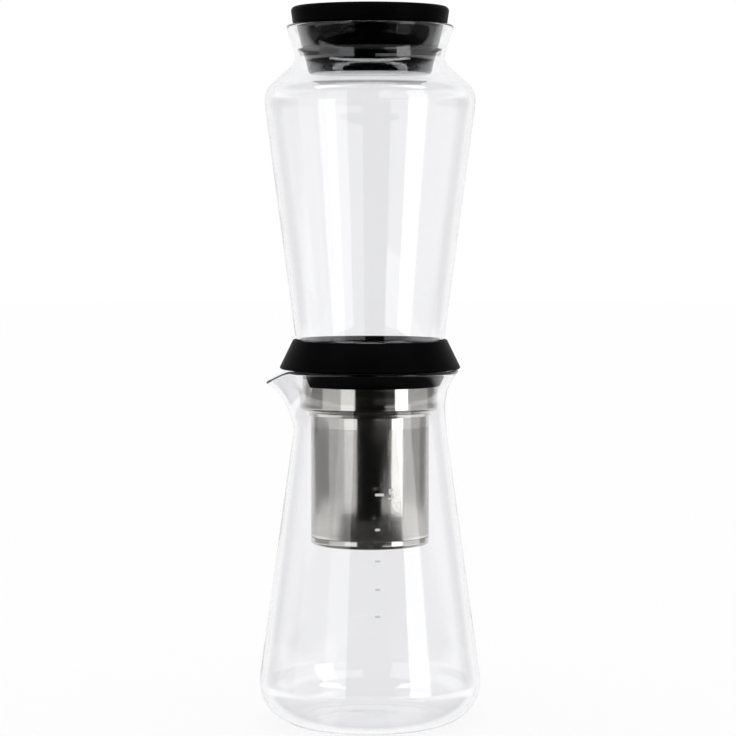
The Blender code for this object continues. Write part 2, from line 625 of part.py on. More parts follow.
def make_nozzle(finish, parent):
    """Steel tube through the grommet, with a pinhole that meters the drops and a head on top."""
    seat = 2 * GAP + GROMMET_FLANGE_THICKNESS
    top = seat + NOZZLE_HEAD_THICKNESS
    tip = -BOWL_WALL - GROMMET_TAIL_REACH - NOZZLE_TIP_REACH
    head = NOZZLE_RADIUS + NOZZLE_HEAD_LAP
    points = [(NOZZLE_BORE_RADIUS, tip), (NOZZLE_RADIUS, tip), (NOZZLE_RADIUS, seat)]
    points += [(head, seat), (head, top), (NOZZLE_BORE_RADIUS, top)]
    turned("drip_nozzle", points, finish, parent, steps=SMALL_STEPS)


def make_screen(finish, parent):
    """Fine mesh cap over the nozzle's head that keeps grit out of the pinhole."""
    bottom = 2 * GAP + GROMMET_FLANGE_THICKNESS
    top = bottom + NOZZLE_HEAD_THICKNESS + SCREEN_HEADROOM + SCREEN_SHEET
    radius = GROMMET_FLANGE_RADIUS - SCREEN_EDGE_INSET
    corner = (radius - SCREEN_CORNER_RADIUS, top - SCREEN_CORNER_RADIUS)
    outer = [(radius, bottom)] + arc(corner, SCREEN_CORNER_RADIUS, 0, UPRIGHT, 3) + [(0, top)]
    inner = moved_sideways(outer, SCREEN_SHEET)
    turned("nozzle_screen", outer[::-1] + inner, finish, parent, closed=False, steps=SMALL_STEPS)


def make_cap(finish, parent):
    """Moulded top of the lid: a shallow upturned cup with a soft upper corner."""
    corner = (CAP_BOTTOM_RADIUS + CAP_TAPER - CAP_CORNER_RADIUS, CAP_HEIGHT - CAP_CORNER_RADIUS)
    inner = CAP_BOTTOM_RADIUS - CAP_WALL
    roof = CAP_HEIGHT - CAP_ROOF
    points = [(0, roof), (inner, roof), (inner, 0), (CAP_BOTTOM_RADIUS, 0)]
    points += arc(corner, CAP_CORNER_RADIUS, 0, UPRIGHT, 4) + [(0, CAP_HEIGHT)]
    turned("lid_cap", points, finish, parent, closed=False)


def plug_radius(z):
    """The stopper's outer radius at a height under the cap's edge."""
    return PLUG_TOP_RADIUS + PLUG_TAPER * z / PLUG_DEPTH


def make_plug(finish, parent):
    """Moulded stopper under the cap: a tapered cup with a snap neck and a groove for the gasket."""
    neck_outer = CAP_BOTTOM_RADIUS - CAP_WALL - GAP
    neck_inner = neck_outer - PLUG_WALL
    groove_top = LID_GASKET_LEVEL + LID_GASKET_HEIGHT / 2 + GAP
    groove_bottom = LID_GASKET_LEVEL - LID_GASKET_HEIGHT / 2 - GAP
    groove = plug_radius(LID_GASKET_LEVEL) - LID_GASKET_SLEEVE - GAP
    corner = PLUG_CORNER - PLUG_DEPTH
    floor = PLUG_WALL - PLUG_DEPTH
    points = [
        (0, -PLUG_DEPTH),
        (plug_radius(corner) - PLUG_CORNER, -PLUG_DEPTH),
        (plug_radius(corner), corner),
        (plug_radius(groove_bottom), groove_bottom),
        (groove, groove_bottom),
        (groove, groove_top),
        (plug_radius(groove_top), groove_top),
        (plug_radius(-GAP), -GAP),
        (neck_outer, -GAP),
        (neck_outer, PLUG_NECK_HEIGHT),
        (neck_inner, PLUG_NECK_HEIGHT),
        (neck_inner, -GAP),
        (plug_radius(-PLUG_WALL) - PLUG_INNER_INSET, -PLUG_WALL),
        (plug_radius(floor) - PLUG_INNER_INSET, floor),
        (0, floor),
    ]
    turned("lid_plug", points, finish, parent, closed=False)


def make_lid_gasket(finish, parent):
    """Soft ring on the stopper whose thin fin seals in the bowl's neck, notched to let air in."""
    sleeve_outer = plug_radius(LID_GASKET_LEVEL)
    sleeve_inner = sleeve_outer - LID_GASKET_SLEEVE
    low = LID_GASKET_LEVEL - LID_GASKET_HEIGHT / 2
    high = LID_GASKET_LEVEL + LID_GASKET_HEIGHT / 2
    fin_low = LID_GASKET_LEVEL - LID_GASKET_FIN / 2
    fin_high = LID_GASKET_LEVEL + LID_GASKET_FIN / 2
    inside = moved_sideways(bowl_outline(), BOWL_WALL)
    upper = [point for point in inside if point[1] > BOWL_HEIGHT - BOWL_SLOPE_DROP]
    neck = upper[upper.index(min(upper)):]
    fin_outer = radius_at(neck, LID_Z - BOWL_Z + fin_low) - GAP
    points = [(sleeve_inner, low), (sleeve_outer, low), (sleeve_outer, fin_low), (fin_outer, fin_low)]
    points += [(fin_outer, fin_high), (sleeve_outer, fin_high), (sleeve_outer, high), (sleeve_inner, high)]
    gasket = turned("lid_gasket", points, finish, parent)
    notch = box_outline((sleeve_outer + fin_outer) / 2, fin_outer + CUT_OVERRUN,
                        fin_low - CUT_OVERRUN, fin_high + CUT_OVERRUN)
    start = -LID_GASKET_NOTCH_ANGLE / 2
    cut_with(gasket, turned_mesh(notch, True, 2, start, LID_GASKET_NOTCH_ANGLE))


def main():
    """Clears the file and builds every piece on its group."""
    for old in list(bpy.data.objects):
        bpy.data.objects.remove(old)
    glass = material("clear_glass", (0.93, 0.95, 0.95), 0.02, alpha=0.25)
    black = material("black_polypropylene", (0.012, 0.012, 0.013), 0.42)
    gloss = material("black_gloss_plastic", (0.010, 0.010, 0.011), 0.15)
    soft = material("black_silicone", (0.020, 0.020, 0.020), 0.60)
    clear_soft = material("clear_silicone", (0.75, 0.76, 0.76), 0.50)
    steel = material("polished_steel", (0.62, 0.61, 0.59), 0.12, metallic=1.0)
    mesh = material("steel_mesh", (0.40, 0.40, 0.38), 0.35, metallic=1.0)

    make_server(glass)

    collar = group("collar", COLLAR_Z)
    make_collar_shell(black, collar)
    make_lip_seal(clear_soft, collar)
    make_collar_seat(black, collar)
    make_plug_ring(black, collar)
    make_bowl_gasket(soft, collar)
    make_strainer_seal(clear_soft, collar)

    strainer = group("strainer", STRAINER_Z, collar)
    make_strainer_band(steel, strainer)
    make_strainer_wall(mesh, strainer)
    make_strainer_foot(steel, strainer)
    make_strainer_floor(mesh, strainer)
    make_spreader(steel, group("spreader", STRAINER_Z, strainer))

    bowl = group("bowl", BOWL_Z, collar)
    make_bowl(glass, bowl)

    valve = group("drip_valve", VALVE_Z, bowl)
    make_grommet(soft, valve)
    make_nozzle(steel, valve)
    make_screen(mesh, valve)

    lid = group("lid", LID_Z, bowl)
    make_cap(black, lid)
    make_plug(gloss, lid)
    make_lid_gasket(soft, lid)


main()
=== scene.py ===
"""Dresses the slow-drip cold brew coffee maker: glass, black plastics, silicone and steel.

Lengths are in metres. The pieces come in the order in which the maker is put together, from the
glass server on the table up to the stopper in the water bowl's neck.
"""

import math

import bpy
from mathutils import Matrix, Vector


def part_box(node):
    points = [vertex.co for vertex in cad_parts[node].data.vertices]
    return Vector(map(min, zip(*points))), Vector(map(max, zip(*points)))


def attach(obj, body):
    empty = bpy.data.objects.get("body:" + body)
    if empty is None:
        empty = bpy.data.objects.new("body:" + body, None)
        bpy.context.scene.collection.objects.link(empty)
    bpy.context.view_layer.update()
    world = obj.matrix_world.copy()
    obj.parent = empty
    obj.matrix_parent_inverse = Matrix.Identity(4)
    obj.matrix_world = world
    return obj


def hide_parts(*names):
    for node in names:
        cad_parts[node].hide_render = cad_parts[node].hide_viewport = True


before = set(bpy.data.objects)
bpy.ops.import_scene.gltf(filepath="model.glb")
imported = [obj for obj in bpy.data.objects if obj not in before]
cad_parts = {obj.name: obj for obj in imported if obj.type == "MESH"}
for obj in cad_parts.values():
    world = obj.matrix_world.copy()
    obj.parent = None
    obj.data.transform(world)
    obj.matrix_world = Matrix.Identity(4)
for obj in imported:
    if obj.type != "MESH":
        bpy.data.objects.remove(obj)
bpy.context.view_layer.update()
scene = bpy.context.scene
scene.view_settings.view_transform = "Standard"
scene.cycles.transparent_max_bounces = 32

# Camera: a long lens a little over table height, level with the bowl's lower half, and tipped
# down a touch, so that the lid is seen from below and the server's base from above.
CAMERA_DISTANCE = 1.46
CAMERA_ASIDE = -0.0011
EYE_HEIGHT = 0.2849
CAMERA_DIP = math.radians(3.60)
FRAME_PIXELS = 736
FOCAL_PIXELS = 2700

bpy.ops.object.camera_add(
    location=(CAMERA_ASIDE, -CAMERA_DISTANCE, EYE_HEIGHT),
    rotation=(math.pi / 2 - CAMERA_DIP, 0, 0),
)
camera = bpy.context.object
camera.data.lens = camera.data.sensor_width * FOCAL_PIXELS / FRAME_PIXELS
scene.camera = camera


# Studio: a white table in front of a white backdrop, with softboxes on both sides of the camera and
# overhead, and dark cards between them. The cards draw the black stripe down the steel and keep the
# plastics black. All of them show only in reflections, and the table doesn't, so the glass stands
# before plain white in any view.
FLOOR_RADIUS = 6.0
FLOOR_DROP = 0.0002
FLOOR_SHARE = 0.20  # how much of the floor's look is its lit surface; the rest is plain white
ROOM_FILL = 1.0
ROOM_BANDS = (  # heights of what a reflection faces, from straight down to straight up, and greys
    (0.00, 0.03), (0.24, 0.03), (0.325, 0.03), (0.35, 1.30), (0.40, 1.30), (0.42, 0.35),
    (0.53, 0.35), (0.57, 1.30), (0.70, 1.30), (0.77, 0.04), (1.00, 0.04),
)
BACKDROP_EDGE = (0.60, 0.85)  # how squarely a reflection has to face the backdrop to show it
BACKDROP_CURVE = 0.4  # how much more of the backdrop a steep reflection shows
FRONT_SHADE = (-0.60, -0.30, 0.03)  # headings between which the room darkens, and its share there
STUDIO_RADIUS = 1.50
PANELS = {  # sides in degrees to the right of the camera, heights, brightness
    "left_softbox": ((-49, -25), (-0.25, 1.20), 1.4),
    "right_softbox": ((42, 65), (-0.25, 1.20), 2.8),
    "left_fill": ((-85, -49), (-0.14, 0.42), 0.80),
    "right_fill": ((65, 110), (-0.14, 0.42), 0.68),
    "high_left_fill": ((-85, -49), (0.42, 1.20), 1.1),
    "high_right_fill": ((9, 42), (0.42, 1.20), 1.2),
    "low_left_fill": ((-85, -49), (-0.25, -0.14), 1.1),
    "low_right_fill": ((22, 42), (-0.25, -0.14), 1.1),
    "middle_card": ((-25, 26), (-0.14, 0.42), 0.003),
    "right_card": ((26, 42), (0.05, 0.42), 0.03),
    "grey_card": ((26, 42), (-0.14, 0.05), 0.25),
    "foot_card": ((-25, 22), (-0.30, -0.14), 0.003),
    "low_card": ((-40, 52), (-0.60, -0.30), 0.003),
    "high_card": ((-22, 9), (0.42, 1.20), 0.003),
}
TOP_LIGHT_SIZE = (3.5, 0.50)
TOP_LIGHT_PLACE = (0, -0.55, 1.80)
TOP_LIGHT_TILT = math.radians(22)
TOP_LIGHT_BRIGHTNESS = 5.0


def linear(colour):
    """An sRGB hex colour as the linear RGBA that the shaders take."""
    shares = [int(colour[i:i + 2], 16) / 255 for i in (1, 3, 5)]
    return (*(s / 12.92 if s <= 0.04045 else ((s + 0.055) / 1.055) ** 2.4 for s in shares), 1)


def add_node(tree, kind, inputs=None, **settings):
    """Adds a node. Each input is linked if it is given another node's output, and otherwise set."""
    made = tree.nodes.new("ShaderNode" + kind)
    for name, value in settings.items():
        setattr(made, name, value)
    for name, value in (inputs or {}).items():
        if isinstance(value, bpy.types.NodeSocket):
            tree.links.new(value, made.inputs[name])
        else:
            made.inputs[name].default_value = value
    return made


def new_material(name):
    """An empty node material, with its tree and its output node."""
    made = bpy.data.materials.new(name)
    made.use_nodes = True
    made.node_tree.nodes.clear()
    return made, made.node_tree, add_node(made.node_tree, "OutputMaterial")


def seen_through(tree):
    """An output that is 1 for what the camera sees directly or through glass, and 0 in reflections."""
    path = add_node(tree, "LightPath")
    direct = add_node(tree, "Math", {0: path.outputs["Is Camera Ray"],
                                     1: path.outputs["Is Transmission Ray"]}, operation="MAXIMUM")
    unreflected = add_node(tree, "Math", {0: path.outputs["Glossy Depth"], 1: 0.5},
                           operation="LESS_THAN")
    both = add_node(tree, "Math", {0: direct.outputs[0], 1: unreflected.outputs[0]},
                    operation="MULTIPLY")
    return both.outputs[0]


def panel(name, place, turn, size, brightness):
    """Hangs a flat panel that shows in reflections alone."""
    finish, tree, output = new_material(name)
    glow = add_node(tree, "Emission", {"Color": linear("#FFFFFF"), "Strength": brightness})
    clear = add_node(tree, "BsdfTransparent")
    shown = add_node(tree, "MixShader", {0: seen_through(tree), 1: glow.outputs[0], 2: clear.outputs[0]})
    tree.links.new(shown.outputs[0], output.inputs["Surface"])
    bpy.ops.mesh.primitive_plane_add(size=1, location=place, rotation=turn)
    made = bpy.context.object
    made.name = name
    made.scale = (*size, 1)
    made.data.materials.append(finish)
    made.visible_camera = made.visible_diffuse = made.visible_shadow = False


world = bpy.data.worlds.new("studio")
world.use_nodes = True
world.node_tree.nodes.clear()
tree = world.node_tree
path = add_node(tree, "LightPath")
heading = add_node(tree, "SeparateXYZ", {0: add_node(tree, "TexCoord").outputs["Generated"]})
height = add_node(tree, "MapRange", {"Value": heading.outputs["Z"], "From Min": -1.0})
bands = add_node(tree, "ValToRGB", {"Fac": height.outputs["Result"]})
for place, grey in ROOM_BANDS[1:-1]:
    bands.color_ramp.elements.new(place)
for stop, (place, grey) in zip(bands.color_ramp.elements, ROOM_BANDS):
    stop.color = (grey, grey, grey, 1)
steep = add_node(tree, "Math", {0: heading.outputs["Z"]}, operation="ABSOLUTE")
facing = add_node(tree, "Math", {0: steep.outputs[0], 1: BACKDROP_CURVE, 2: heading.outputs["Y"]},
                  operation="MULTIPLY_ADD")
backdrop = add_node(tree, "MapRange", {
    "Value": facing.outputs[0], "From Min": BACKDROP_EDGE[0], "From Max": BACKDROP_EDGE[1]},
    interpolation_type="SMOOTHSTEP")
front = add_node(tree, "MapRange", {
    "Value": heading.outputs["Y"], "From Min": FRONT_SHADE[0], "From Max": FRONT_SHADE[1],
    "To Min": FRONT_SHADE[2], "To Max": 1.0})
shaded_bands = add_node(tree, "Math", {0: bands.outputs["Color"], 1: front.outputs["Result"]},
                        operation="MULTIPLY")
mirrored = add_node(tree, "Mix", {"Factor": backdrop.outputs["Result"], 2: shaded_bands.outputs[0],
                                  3: 1.0})
reflected = add_node(tree, "Math", {0: path.outputs["Glossy Depth"], 1: 0.5},
                     operation="GREATER_THAN")
room = add_node(tree, "Mix", {"Factor": reflected.outputs[0], 2: ROOM_FILL,
                              3: mirrored.outputs[0]})
seen = add_node(tree, "Mix", {"Factor": seen_through(tree), 2: room.outputs[0], 3: 1.0})
background = add_node(tree, "Background", {"Color": seen.outputs[0]})
add_node(tree, "OutputWorld", {"Surface": background.outputs[0]})
scene.world = world

floor_finish, tree, output = new_material("white_table")
lit_floor = add_node(tree, "BsdfDiffuse", {"Color": linear("#FAFAFA")})
plain_floor = add_node(tree, "Emission", {"Color": linear("#FFFFFF"), "Strength": 1.0})
no_floor = add_node(tree, "BsdfTransparent")
looks = add_node(tree, "MixShader", {0: FLOOR_SHARE, 1: plain_floor.outputs[0], 2: lit_floor.outputs[0]})
path = add_node(tree, "LightPath")
reflected = add_node(tree, "Math", {0: path.outputs["Glossy Depth"], 1: 0.5},
                     operation="GREATER_THAN")
mirrored = add_node(tree, "MixShader", {0: reflected.outputs[0], 1: lit_floor.outputs[0],
                                        2: no_floor.outputs[0]})
shown = add_node(tree, "MixShader", {0: seen_through(tree), 1: mirrored.outputs[0],
                                     2: looks.outputs[0]})
tree.links.new(shown.outputs[0], output.inputs["Surface"])
bpy.ops.mesh.primitive_circle_add(vertices=64, radius=FLOOR_RADIUS, location=(0, 0, -FLOOR_DROP),
                                  fill_type="NGON")
table = bpy.context.object
table.name = "table"
table.data.materials.append(floor_finish)

for name, ((left, right), (low, high), brightness) in PANELS.items():
    side, half = math.radians(left + right) / 2, math.radians(right - left) / 2
    away = STUDIO_RADIUS * math.cos(half)
    panel(name, (away * math.sin(side), -away * math.cos(side), (low + high) / 2),
          (math.pi / 2, 0, side), (2 * STUDIO_RADIUS * math.sin(half), high - low), brightness)
panel("top_light", TOP_LIGHT_PLACE, (TOP_LIGHT_TILT, 0, 0), TOP_LIGHT_SIZE, TOP_LIGHT_BRIGHTNESS)


# Server: a jug blown in one piece from borosilicate glass, with a pushed-up base, a round heel, a
# straight cone up to its waist, and a fire-polished lip that is pulled out into a pouring spout.
# Fire polishing leaves a wavy skin without a grain, so it shows only as slightly uneven shine.
SERVER_WALL = 0.0020
SERVER_SEGMENTS = 160
PUNT_RADIUS = 0.0300
PUNT_RISE = 0.0018
HEEL_START = 0.03767
HEEL_END = (0.05995, 0.02563)  # where the heel runs out into the cone, as radius and height
CONE_TOP = (0.0430, 0.1481)
WAIST = (0.0407, 0.1716)
LIP_END = (0.0482, 0.19165)
CONE_LEAN = 7.88  # degrees
LIP_FLARE = 40
SPOUT_START = 0.1601
SPOUT_REACH = 0.0084
SPOUT_DROOP = 0.0074
SPOUT_HALF_ANGLE = math.radians(30)
SPOUT_NARROWING = 1.25  # powers that shape the spout across its width, up the wall and at its tip
SPOUT_SWELLING = 1.2
SPOUT_TIPPING = 2.7
RIM_ROUND_SHARE = 0.46
RIM_SEGMENTS = 5
MERGE_DISTANCE = 0.000001


def drawn(name, stations, steps):
    """Draws an outline beside the axis as a Bezier curve and converts it to a mesh. A station is
    its radius, height and heading in degrees, and its two handles as shares of the spans there."""
    bpy.ops.object.select_all(action="DESELECT")
    bpy.ops.curve.primitive_bezier_curve_add()
    curve = bpy.context.object
    curve.name = name
    curve.data.resolution_u = steps
    points = curve.data.splines[0].bezier_points
    points.add(len(stations) - 2)
    places = [Vector((radius, 0, height)) for radius, height, *_ in stations]
    for i, (point, (*_, heading, back, on)) in enumerate(zip(points, stations)):
        towards = Vector((math.cos(math.radians(heading)), 0, math.sin(math.radians(heading))))
        before = (places[i] - places[max(i - 1, 0)]).length
        after = (places[min(i + 1, len(places) - 1)] - places[i]).length
        point.handle_left_type = point.handle_right_type = "FREE"
        point.co = places[i]
        point.handle_left = places[i] - back * before * towards
        point.handle_right = places[i] + on * after * towards
    bpy.ops.object.convert(target="MESH")
    return bpy.context.object


def spun(outline, segments):
    """Spins an outline once round the axis, closes its seam and poles and faces it outwards."""
    bpy.ops.object.mode_set(mode="EDIT")
    bpy.ops.mesh.select_all(action="SELECT")
    bpy.ops.mesh.spin(steps=segments, angle=math.tau, center=(0, 0, 0), axis=(0, 0, 1))
    bpy.ops.mesh.select_all(action="SELECT")
    bpy.ops.mesh.remove_doubles(threshold=MERGE_DISTANCE)
    bpy.ops.mesh.normals_make_consistent(inside=False)
    bpy.ops.object.mode_set(mode="OBJECT")
    widest = max(outline.data.polygons, key=lambda face: face.center.xy.length)
    if widest.normal.xy.dot(widest.center.xy) < 0:
        bpy.ops.object.mode_set(mode="EDIT")
        bpy.ops.mesh.flip_normals()
        bpy.ops.object.mode_set(mode="OBJECT")
    return outline


def finished(piece, kind, **settings):
    """Adds one modifier with its settings to a piece and applies it."""
    modifier = piece.modifiers.new(kind.lower(), kind)
    for name, value in settings.items():
        setattr(modifier, name, value)
    bpy.context.view_layer.objects.active = piece
    bpy.ops.object.modifier_apply(modifier=modifier.name)
    return piece


def shaded(piece, finish, body, *replaced):
    """Shades a finished piece smooth, gives it its material and puts it on its body."""
    bpy.ops.object.select_all(action="DESELECT")
    piece.select_set(True)
    bpy.context.view_layer.objects.active = piece
    bpy.ops.object.shade_smooth_by_angle(angle=math.radians(32))
    piece.data.materials.clear()
    piece.data.materials.append(finish)
    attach(piece, body)
    if replaced:
        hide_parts(*replaced)
    return piece


def borosilicate(name, tint):
    """Clear blown glass: a nearly perfect polish with a faint waviness. Lamps shine through it."""
    made, tree, output = new_material(name)
    place = add_node(tree, "TexCoord").outputs["Object"]
    waves = add_node(tree, "TexNoise", {"Vector": place, "Scale": 28, "Detail": 1.5})
    polish = add_node(tree, "MapRange", {"Value": waves.outputs["Fac"], "From Min": 0.35,
                                         "From Max": 0.70, "To Min": 0.0, "To Max": 0.03})
    bump = add_node(tree, "Bump", {"Height": waves.outputs["Fac"], "Strength": 0.25,
                                   "Distance": 0.0004})
    glass = add_node(tree, "BsdfPrincipled", {
        "Base Color": linear(tint), "Roughness": polish.outputs["Result"], "IOR": 1.473,
        "Transmission Weight": 1.0, "Normal": bump.outputs["Normal"]})
    clear = add_node(tree, "BsdfTransparent", {"Color": linear("#F6F6F6")})
    path = add_node(tree, "LightPath")
    shown = add_node(tree, "MixShader", {0: path.outputs["Is Shadow Ray"], 1: glass.outputs[0],
                                         2: clear.outputs[0]})
    tree.links.new(shown.outputs[0], output.inputs["Surface"])
    return made


server_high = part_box("server_glass")[1]
server = spun(drawn("server_glass_blown", (
    (0, PUNT_RISE, 0, 0, 0.40),
    (PUNT_RADIUS, 0, 0, 0.40, 0.33),
    (HEEL_START, 0, 0, 0.33, 0.402),
    (*HEEL_END, 90 + CONE_LEAN, 0.402, 0.33),
    (*CONE_TOP, 90 + CONE_LEAN, 0.33, 0.40),
    (*WAIST, 90, 0.30, 0.43),
    (*LIP_END, 90 - LIP_FLARE, 0.33, 0),
), 10), SERVER_SEGMENTS)
for vert in server.data.vertices:
    turn = math.atan2(vert.co.y, -vert.co.x)
    rise = (vert.co.z - SPOUT_START) / (server_high.z - SPOUT_START)
    if rise > 0 and abs(turn) < SPOUT_HALF_ANGLE:
        share = (0.5 + 0.5 * math.cos(math.pi * turn / SPOUT_HALF_ANGLE)) ** SPOUT_NARROWING
        swell = SPOUT_REACH * share * math.sin(min(rise, 1) * math.pi / 2) ** SPOUT_SWELLING
        vert.co.x -= swell * math.cos(turn)
        vert.co.y += swell * math.sin(turn)
        vert.co.z -= SPOUT_DROOP * share * rise ** SPOUT_TIPPING
finished(server, "SOLIDIFY", thickness=SERVER_WALL, offset=-1, use_even_offset=True)
finished(server, "BEVEL", width=SERVER_WALL * RIM_ROUND_SHARE, segments=RIM_SEGMENTS,
         limit_method="ANGLE", angle_limit=math.radians(55))
server_finish = borosilicate("borosilicate_server", "#FBFBFC")
shaded(server, server_finish, "server", "server_glass")


# Server scale: level marks and one plain number, screen printed on the outside of the glass in pale
# grey enamel and fired in. The enamel is a few hundredths of a millimetre thick, with a fine speckle.
SHORT_DASH = (0.0027, 0.0012)
SHORT_LEVELS = (0.1107, 0.0943, 0.0796, 0.0656)
LONG_DASH = (0.0048, 0.0014)
LONG_LEVEL = 0.1289
NUMBER_SIZE = 0.0080
NUMBER_GAP = 0.0018
PRINT_START = 0.0026  # how far to the right of the glass's front line the marks begin
PRINT_SUNK = 0.00001
PRINT_THICKNESS = 0.00005
STRIP = 0.0006  # width of the strips that a mark is cut into, so that it can follow the glass
DASH_ROUND_SHARE = 0.3


def cone_radius(height):
    """The outer radius of the server's straight cone at a height."""
    return HEEL_END[0] - (height - HEEL_END[1]) * math.tan(math.radians(CONE_LEAN))


def printed(mark, aside, level):
    """Wraps a flat mark round the front of the cone, cut into strips that follow its curve."""
    bpy.context.view_layer.objects.active = mark
    bpy.ops.object.mode_set(mode="EDIT")
    reach = max(vert.co.x for vert in mark.data.vertices)
    for strip in range(1, int(reach / STRIP) + 1):
        bpy.ops.mesh.select_all(action="SELECT")
        bpy.ops.mesh.bisect(plane_co=(strip * STRIP, 0, 0), plane_no=(1, 0, 0))
    bpy.ops.object.mode_set(mode="OBJECT")
    for vert in mark.data.vertices:
        height = level + vert.co.y
        radius = cone_radius(height) - PRINT_SUNK
        turn = (aside + vert.co.x) / radius
        vert.co = (radius * math.sin(turn), -radius * math.cos(turn), height)
    return finished(mark, "SOLIDIFY", thickness=PRINT_THICKNESS, offset=1)


def dash(size):
    """A flat dash with rounded ends, from the Y axis to the right."""
    bpy.ops.object.select_all(action="DESELECT")
    bpy.ops.mesh.primitive_plane_add(size=1, location=(0, 0, 0))
    bpy.ops.object.mode_set(mode="EDIT")
    bpy.ops.transform.translate(value=(0.5, 0, 0))
    bpy.ops.transform.resize(value=(*size, 1), center_override=(0, 0, 0))
    bpy.ops.mesh.bevel(affect="VERTICES", offset=size[1] * DASH_ROUND_SHARE, segments=4)
    bpy.ops.object.mode_set(mode="OBJECT")
    return bpy.context.object


def fired_enamel():
    """Pale screen-printed enamel, satin, with a fine speckle where the screen's cloth lay."""
    made, tree, output = new_material("fired_enamel")
    place = add_node(tree, "TexCoord").outputs["Object"]
    speckle = add_node(tree, "TexNoise", {"Vector": place, "Scale": 2200, "Detail": 2})
    shades = add_node(tree, "Mix", {"Factor": speckle.outputs["Fac"], 6: linear("#BEBEBE"),
                                    7: linear("#D2D2D2")}, data_type="RGBA")
    rough = add_node(tree, "MapRange", {"Value": speckle.outputs["Fac"], "To Min": 0.35,
                                        "To Max": 0.55})
    bump = add_node(tree, "Bump", {"Height": speckle.outputs["Fac"], "Strength": 0.3,
                                   "Distance": 0.00002})
    shader = add_node(tree, "BsdfPrincipled", {
        "Base Color": shades.outputs[2], "Roughness": rough.outputs["Result"],
        "Normal": bump.outputs["Normal"]})
    tree.links.new(shader.outputs[0], output.inputs["Surface"])
    return made


short_dash = dash(SHORT_DASH)
marks = []
for level in SHORT_LEVELS:
    mark = short_dash.copy()
    mark.data = short_dash.data.copy()
    bpy.context.collection.objects.link(mark)
    marks.append(printed(mark, PRINT_START, level))
bpy.data.objects.remove(short_dash)
marks.append(printed(dash(LONG_DASH), PRINT_START, LONG_LEVEL))
bpy.ops.object.select_all(action="DESELECT")
bpy.ops.object.text_add(location=(0, 0, 0))
bpy.context.object.data.body = "5"
bpy.context.object.data.size = NUMBER_SIZE
bpy.context.object.data.align_y = "CENTER"
bpy.ops.object.convert(target="MESH")
number = bpy.context.object
marks.append(printed(number, PRINT_START + LONG_DASH[0] + NUMBER_GAP, LONG_LEVEL))
bpy.ops.object.select_all(action="DESELECT")
for mark in marks:
    mark.select_set(True)
bpy.context.view_layer.objects.active = marks[0]
bpy.ops.object.join()
scale = bpy.context.object
scale.name = "scale_print"
bpy.ops.object.mode_set(mode="EDIT")
bpy.ops.mesh.select_all(action="SELECT")
bpy.ops.mesh.remove_doubles(threshold=MERGE_DISTANCE)
bpy.ops.mesh.normals_make_consistent(inside=False)
bpy.ops.object.mode_set(mode="OBJECT")
shaded(scale, fired_enamel(), "server")


# Collar shell: a conical skirt moulded in black polypropylene, with a flange that stands on the
# server's lip and a groove under it for the lip seal. A fine spark-eroded grain in the mould gives
# it a soft, even black that lights up only at a flat angle.
EDGE_ROUND = 0.0003
ROUND_SEGMENTS = 128


def turned(name, outline, edge=EDGE_ROUND, segments=ROUND_SEGMENTS):
    """Pulls one vertex from point to point along a closed outline, spins it and rounds its edges."""
    bpy.ops.object.select_all(action="DESELECT")
    bpy.ops.mesh.primitive_plane_add(size=EDGE_ROUND, location=(0, 0, 0))
    piece = bpy.context.object
    piece.name = name
    bpy.ops.object.mode_set(mode="EDIT")
    bpy.ops.mesh.merge(type="CENTER")
    bpy.ops.transform.translate(value=(outline[0][0], 0, outline[0][1]))
    last = outline[0]
    for radius, height in outline[1:]:
        bpy.ops.mesh.extrude_region_move(
            TRANSFORM_OT_translate={"value": (radius - last[0], 0, height - last[1])})
        last = (radius, height)
    bpy.ops.object.mode_set(mode="OBJECT")
    spun(piece, segments)
    if edge:
        finished(piece, "BEVEL", width=edge, segments=3, limit_method="ANGLE",
                 angle_limit=math.radians(25))
    return piece


def polypropylene(name, colour, roughness, shine, grain_strength):
    """Moulded black plastic with a fine eroded grain, faintly cloudy where the melt met."""
    made, tree, output = new_material(name)
    place = add_node(tree, "TexCoord").outputs["Object"]
    cloud = add_node(tree, "TexNoise", {"Vector": place, "Scale": 45, "Detail": 3})
    grain = add_node(tree, "TexNoise", {"Vector": place, "Scale": 2500, "Detail": 2})
    shades = add_node(tree, "Mix", {"Factor": cloud.outputs["Fac"], 6: linear(colour[0]),
                                    7: linear(colour[1])}, data_type="RGBA")
    rough = add_node(tree, "MapRange", {"Value": cloud.outputs["Fac"], "From Min": 0.3,
                                        "From Max": 0.7, "To Min": roughness[0],
                                        "To Max": roughness[1]})
    bump = add_node(tree, "Bump", {"Height": grain.outputs["Fac"], "Strength": grain_strength,
                                   "Distance": 0.00004})
    shader = add_node(tree, "BsdfPrincipled", {
        "Base Color": shades.outputs[2], "Roughness": rough.outputs["Result"],
        "Specular IOR Level": shine, "Normal": bump.outputs["Normal"]})
    tree.links.new(shader.outputs[0], output.inputs["Surface"])
    return made


